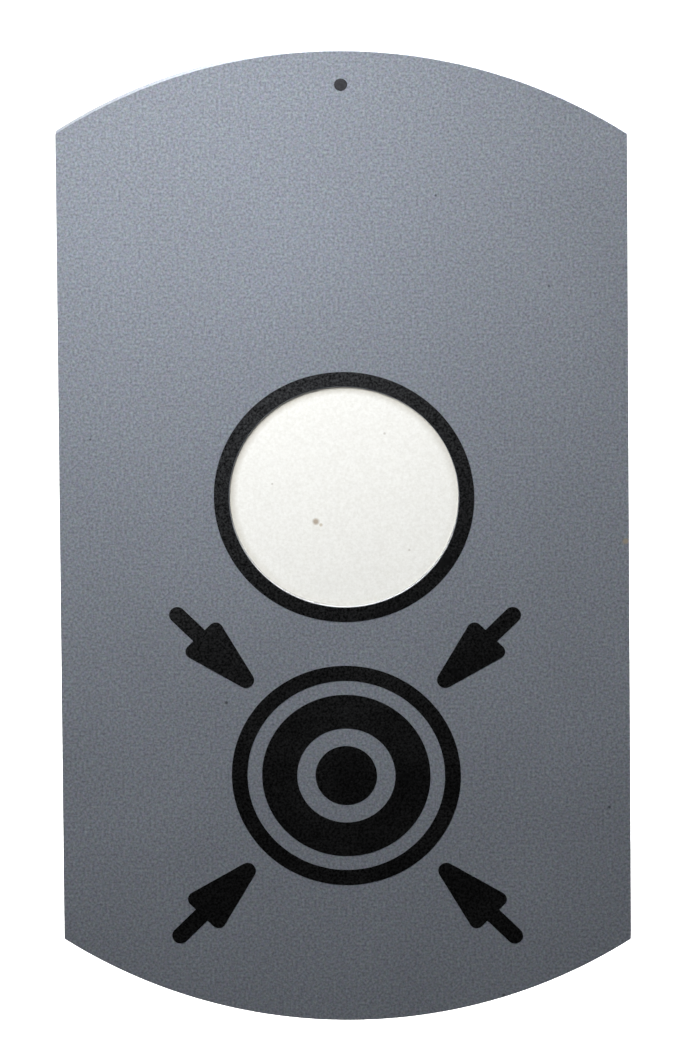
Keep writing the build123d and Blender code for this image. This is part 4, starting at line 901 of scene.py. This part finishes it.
# %% Bellows
def bellows_tree():
    labels = ("Inner Radius", "Fold Depth", "Folds", "Height")
    tree, given, out = tree_with("rubber_bellows", {
        **dict.fromkeys(labels, float), "Turn": Vector, "Rubber": bpy.types.Material})
    size = given.outputs
    end = add(tree, "ShaderNodeCombineXYZ", {"Z": size["Height"]})
    line = add(tree, "GeometryNodeCurvePrimitiveLine", {"Start": (0, 0, 0), "End": end})
    line = add(tree, "GeometryNodeResampleCurve", {"Curve": line, "Count": 49})
    along = add(tree, "GeometryNodeSplineParameter")
    folds = add(tree, "ShaderNodeMath", {0: along, 1: size["Folds"]}, operation="MULTIPLY")
    angle = add(tree, "ShaderNodeMath", {0: folds, 1: 2 * math.pi}, operation="MULTIPLY")
    cosine = add(tree, "ShaderNodeMath", {0: angle}, operation="COSINE")
    wave = add(tree, "ShaderNodeMath", {0: cosine, 1: -0.5, 2: 0.5}, operation="MULTIPLY_ADD")
    radius = add(tree, "ShaderNodeMath", {
        0: wave, 1: size["Fold Depth"], 2: size["Inner Radius"]}, operation="MULTIPLY_ADD")
    ring = add(tree, "GeometryNodeCurvePrimitiveCircle", {"Resolution": 64, "Radius": 1.0})
    body = add(tree, "GeometryNodeCurveToMesh", {
        "Curve": line, "Profile Curve": ring, "Scale": radius})
    copies = add(tree, "GeometryNodeInstanceOnPoints", {
        "Points": size["Places"], "Instance": body, "Rotation": size["Turn"]})
    end_tree(tree, out, copies, size["Rubber"])
    return tree


low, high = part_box("plunger_boot")
boot = grow("plunger_bellows", bellows_tree(), {
    "Inner Radius": 4.75 * MM, "Fold Depth": 1.75 * MM, "Folds": 2.0, "Height": high.y - low.y - 0.1 * MM,
    "Turn": (-math.pi / 2, 0.0, 0.0), "Rubber": finishes["black_epdm_rubber"][0]},
    [("SOLIDIFY", {"thickness": 0.4 * MM, "offset": 0.0})],
    places=[Vector((0.0, low.y + 0.05 * MM, (low.z + high.z) / 2))])
tidy_mesh(boot, sharp=60.0)
settle(boot, "plunger_boot")
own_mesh(boot)


# %% [markdown]
# ## LEDs and board parts, by Geometry Nodes
# The lamp's light comes from nine surface-mounted LEDs: a white moulded cup with a yellow pool
# of phosphor silicone. Small resistors stand between them, one to each LED of the ring.

# %% LED tree
def led_tree():
    tree, given, out = tree_with("board_leds", {
        "Side": float, "Tall": float, "Turn": Vector, "Cup": bpy.types.Material,
        "Phosphor": bpy.types.Material, "Metal": bpy.types.Material})
    side, tall = given.outputs["Side"], given.outputs["Tall"]
    size = add(tree, "ShaderNodeCombineXYZ", {"X": side, "Y": side, "Z": tall})
    forms = []
    for shares, height, material in (((0.92, 0.92, 0.86), 0.43, "Cup"), ((1.0, 0.55, 0.16), 0.08, "Metal")):
        spans = add(tree, "ShaderNodeVectorMath", {0: size, 1: shares}, operation="MULTIPLY")
        block = add(tree, "GeometryNodeMeshCube", {"Size": spans})
        lift = add(tree, "ShaderNodeVectorMath", {0: size, 1: (0, 0, height)}, operation="MULTIPLY")
        block = add(tree, "GeometryNodeTransform", {"Geometry": block, "Translation": lift})
        forms.append(add(tree, "GeometryNodeSetMaterial", {
            "Geometry": block, "Material": given.outputs[material]}))
    pool = stack(tree, [(0.36, 0.8), (0.35, 0.9), (0.275, 0.96), (0.125, 1.0)], side, tall, 28)
    forms.append(add(tree, "GeometryNodeSetMaterial", {
        "Geometry": pool, "Material": given.outputs["Phosphor"]}))
    whole = add(tree, "GeometryNodeJoinGeometry", {0: forms})
    copies = add(tree, "GeometryNodeInstanceOnPoints", {
        "Points": given.outputs["Places"], "Instance": whole, "Rotation": given.outputs["Turn"]})
    real = add(tree, "GeometryNodeRealizeInstances", {"Geometry": copies})
    tree.links.new(real.outputs[0], out.inputs[0])
    return tree


solids = islands("leds")
size = solids[0][1] - solids[0][0]
seats = [Vector(((low.x + high.x) / 2, high.y, (low.z + high.z) / 2)) for low, high in solids]
lamp_leds = grow("lamp_leds", led_tree(), {
    "Side": size.x, "Tall": size.y, "Turn": (math.pi / 2, 0.0, 0.0),
    "Cup": finishes["white_reflector_abs"][0], "Phosphor": finishes["led_phosphor_silicone"][0],
    "Metal": finishes["zinc_plated_steel"][0]},
    [("BEVEL", {"width": 0.08 * MM, "segments": 2, "limit_method": "ANGLE"})], places=seats)
tidy_mesh(lamp_leds, outward=False)
settle(lamp_leds, "leds")


# %% Resistors
def resistor_tree():
    tree, given, out = tree_with("board_resistors", {
        "Turn": Vector, "Body": bpy.types.Material, "Metal": bpy.types.Material})
    forms = []
    for size, material in (((1.2, 0.8, 0.44), "Body"), ((1.6, 0.8, 0.40), "Metal")):
        block = add(tree, "GeometryNodeMeshCube", {"Size": Vector(size) * MM})
        block = add(tree, "GeometryNodeTransform", {
            "Geometry": block, "Translation": (0.0, 0.0, size[2] / 2 * MM)})
        forms.append(add(tree, "GeometryNodeSetMaterial", {
            "Geometry": block, "Material": given.outputs[material]}))
    whole = add(tree, "GeometryNodeJoinGeometry", {0: forms})
    copies = add(tree, "GeometryNodeInstanceOnPoints", {
        "Points": given.outputs["Places"], "Instance": whole, "Rotation": given.outputs["Turn"]})
    real = add(tree, "GeometryNodeRealizeInstances", {"Geometry": copies})
    tree.links.new(real.outputs[0], out.inputs[0])
    return tree


board_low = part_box("led_board")[0]
ring = [math.radians(22.5 + 45 * i) for i in range(8)]
ring_radius = 11.9 * MM
seats = [Vector((ring_radius * math.cos(a), board_low.y, window_z + ring_radius * math.sin(a)))
         for a in ring]
resistors = grow("board_resistors", resistor_tree(), {
    "Turn": (math.pi / 2, 0.0, 0.0), "Body": finishes["black_acetal"][0],
    "Metal": finishes["zinc_plated_steel"][0]},
    [("BEVEL", {"width": 0.04 * MM, "segments": 2, "limit_method": "ANGLE"})], places=seats)
tidy_mesh(resistors, outward=False)
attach(resistors, "housing")

# %% [markdown]
# ## Floor, camera and light
# The unit hangs in front of the camera, seen from a little above, with a pale floor well below
# it. A long lens a good way off keeps the arched edges true. A small soft light close to the
# upper left makes the plate fall from pale at the top left to dark at the bottom. A faint light
# in front lifts the middle. The ceiling light and the side fills show the top and the sides, and
# the rear fill shows the back. The floor is lit by a sun that reaches nothing else, and sends no
# light back, because light from below would turn the black ink grey. The camera sees a sky a
# little darker than the floor, which keeps the plate's pale edge clear from the side.

# %% Floor
floor_mesh = bpy.data.meshes.new("floor")
floor_form = bmesh.new()
bmesh.ops.create_circle(floor_form, cap_ends=True, segments=96, radius=6.0)
floor_form.to_mesh(floor_mesh)
floor_form.free()
floor = bpy.data.objects.new("floor", floor_mesh)
bpy.context.scene.collection.objects.link(floor)
floor.location = (0.0, 1.5, cad_low.z - 0.45)
floor_paint, floor_parts = finish("matt_white_floor", "#F6F6F5", "#F1F1F0", 0.9, grain=4.0,
                                  depth=0.02, tint=0.3, patch=60.0, wear=0.03)
floor_mesh.materials.append(floor_paint)
floor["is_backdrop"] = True
floor.visible_diffuse = floor.visible_glossy = False
lit_floor = bpy.data.collections.new("floor_only")
lit_floor.objects.link(floor)

# %% Camera
elevation, azimuth, roll = 0.2855, 0.0282, -0.0083  # radians
distance = 4.8845
aim = Vector((-0.658 * MM, cad_low.y + print_depth, 1.844 * MM))
back = Vector((math.sin(azimuth) * math.cos(elevation), -math.cos(azimuth) * math.cos(elevation),
               math.sin(elevation)))
level = Vector((math.cos(azimuth), math.sin(azimuth), 0.0))
upward = back.cross(level)
right = math.cos(roll) * level + math.sin(roll) * upward
up = -math.sin(roll) * level + math.cos(roll) * upward
lens_data = bpy.data.cameras.new("camera")
lens_data.lens = 948.2
lens_data.clip_end = 40.0
camera = bpy.data.objects.new("camera", lens_data)
camera.matrix_world = Matrix((
    (right.x, up.x, back.x, 0), (right.y, up.y, back.y, 0), (right.z, up.z, back.z, 0), (0, 0, 0, 1)))
camera.location = aim + back * distance
bpy.context.scene.collection.objects.link(camera)
bpy.context.scene.camera = camera
print("camera at", [round(v, 3) for v in camera.location])


# %% Lights
def softbox(name, place, target, width, height, power, colour="#FFFFFF"):
    """A rectangular soft light at a place, turned to face a target."""
    data = bpy.data.lights.new(name, "AREA")
    data.shape = "RECTANGLE"
    data.size, data.size_y = width, height
    data.energy = power
    data.color = linear(colour)[:3]
    light = bpy.data.objects.new(name, data)
    light.location = place
    light.rotation_euler = (Vector(target) - Vector(place)).to_track_quat("-Z", "Y").to_euler()
    light.visible_camera = False
    bpy.context.scene.collection.objects.link(light)
    return light


softbox("key", (-0.10, -0.26, 0.26), (0.0, -0.04, 0.06), 0.16, 0.12, 2.2)
softbox("sheen", (-0.03, -0.22, 0.02), (-0.02, -0.04, 0.07), 0.08, 0.08, 0.045, "#F2F6FF")
floor_sun = bpy.data.objects.new("floor_sun", bpy.data.lights.new("floor_sun", "SUN"))
floor_sun.data.energy, floor_sun.data.angle = 3.9, math.radians(60)
floor_sun.light_linking.receiver_collection = lit_floor
bpy.context.scene.collection.objects.link(floor_sun)
softbox("ceiling", (0.0, 0.2, 0.6), (0.0, 0.0, 0.08), 0.5, 0.5, 12.0)
softbox("right_fill", (1.2, 0.15, 0.35), (0.0, 0.0, 0.0), 0.9, 1.2, 13.0)
softbox("left_fill", (-1.2, 0.25, 0.35), (0.0, 0.0, 0.0), 0.9, 1.2, 10.0)
softbox("rear_fill", (0.5, 1.5, 0.7), (0.0, 0.0, 0.0), 1.4, 1.4, 40.0)

# %% World
world = bpy.data.worlds.new("studio")
bpy.context.scene.world = world
world.use_nodes = True
sky = world.node_tree
sky.nodes.clear()
ray = add(sky, "ShaderNodeLightPath")
soft = add(sky, "ShaderNodeBackground", {"Color": linear("#EEF1F6"), "Strength": 0.03})
seen = add(sky, "ShaderNodeBackground", {"Color": linear("#FFFFFF"), "Strength": 0.8})
either = add(sky, "ShaderNodeMixShader", {0: ray.outputs["Is Camera Ray"], 1: soft, 2: seen})
add(sky, "ShaderNodeOutputWorld", {"Surface": either})
bpy.context.scene.view_settings.view_transform = "Standard"

# %% [markdown]
# ## Show the sizes and finish
# The box of the dressed model is printed here, to set beside the CAD model's box printed at the
# start, so that growth is easy to see.

# %% Finish
low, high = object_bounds()
print("visual box in mm:", [round(v / MM, 2) for v in high - low])
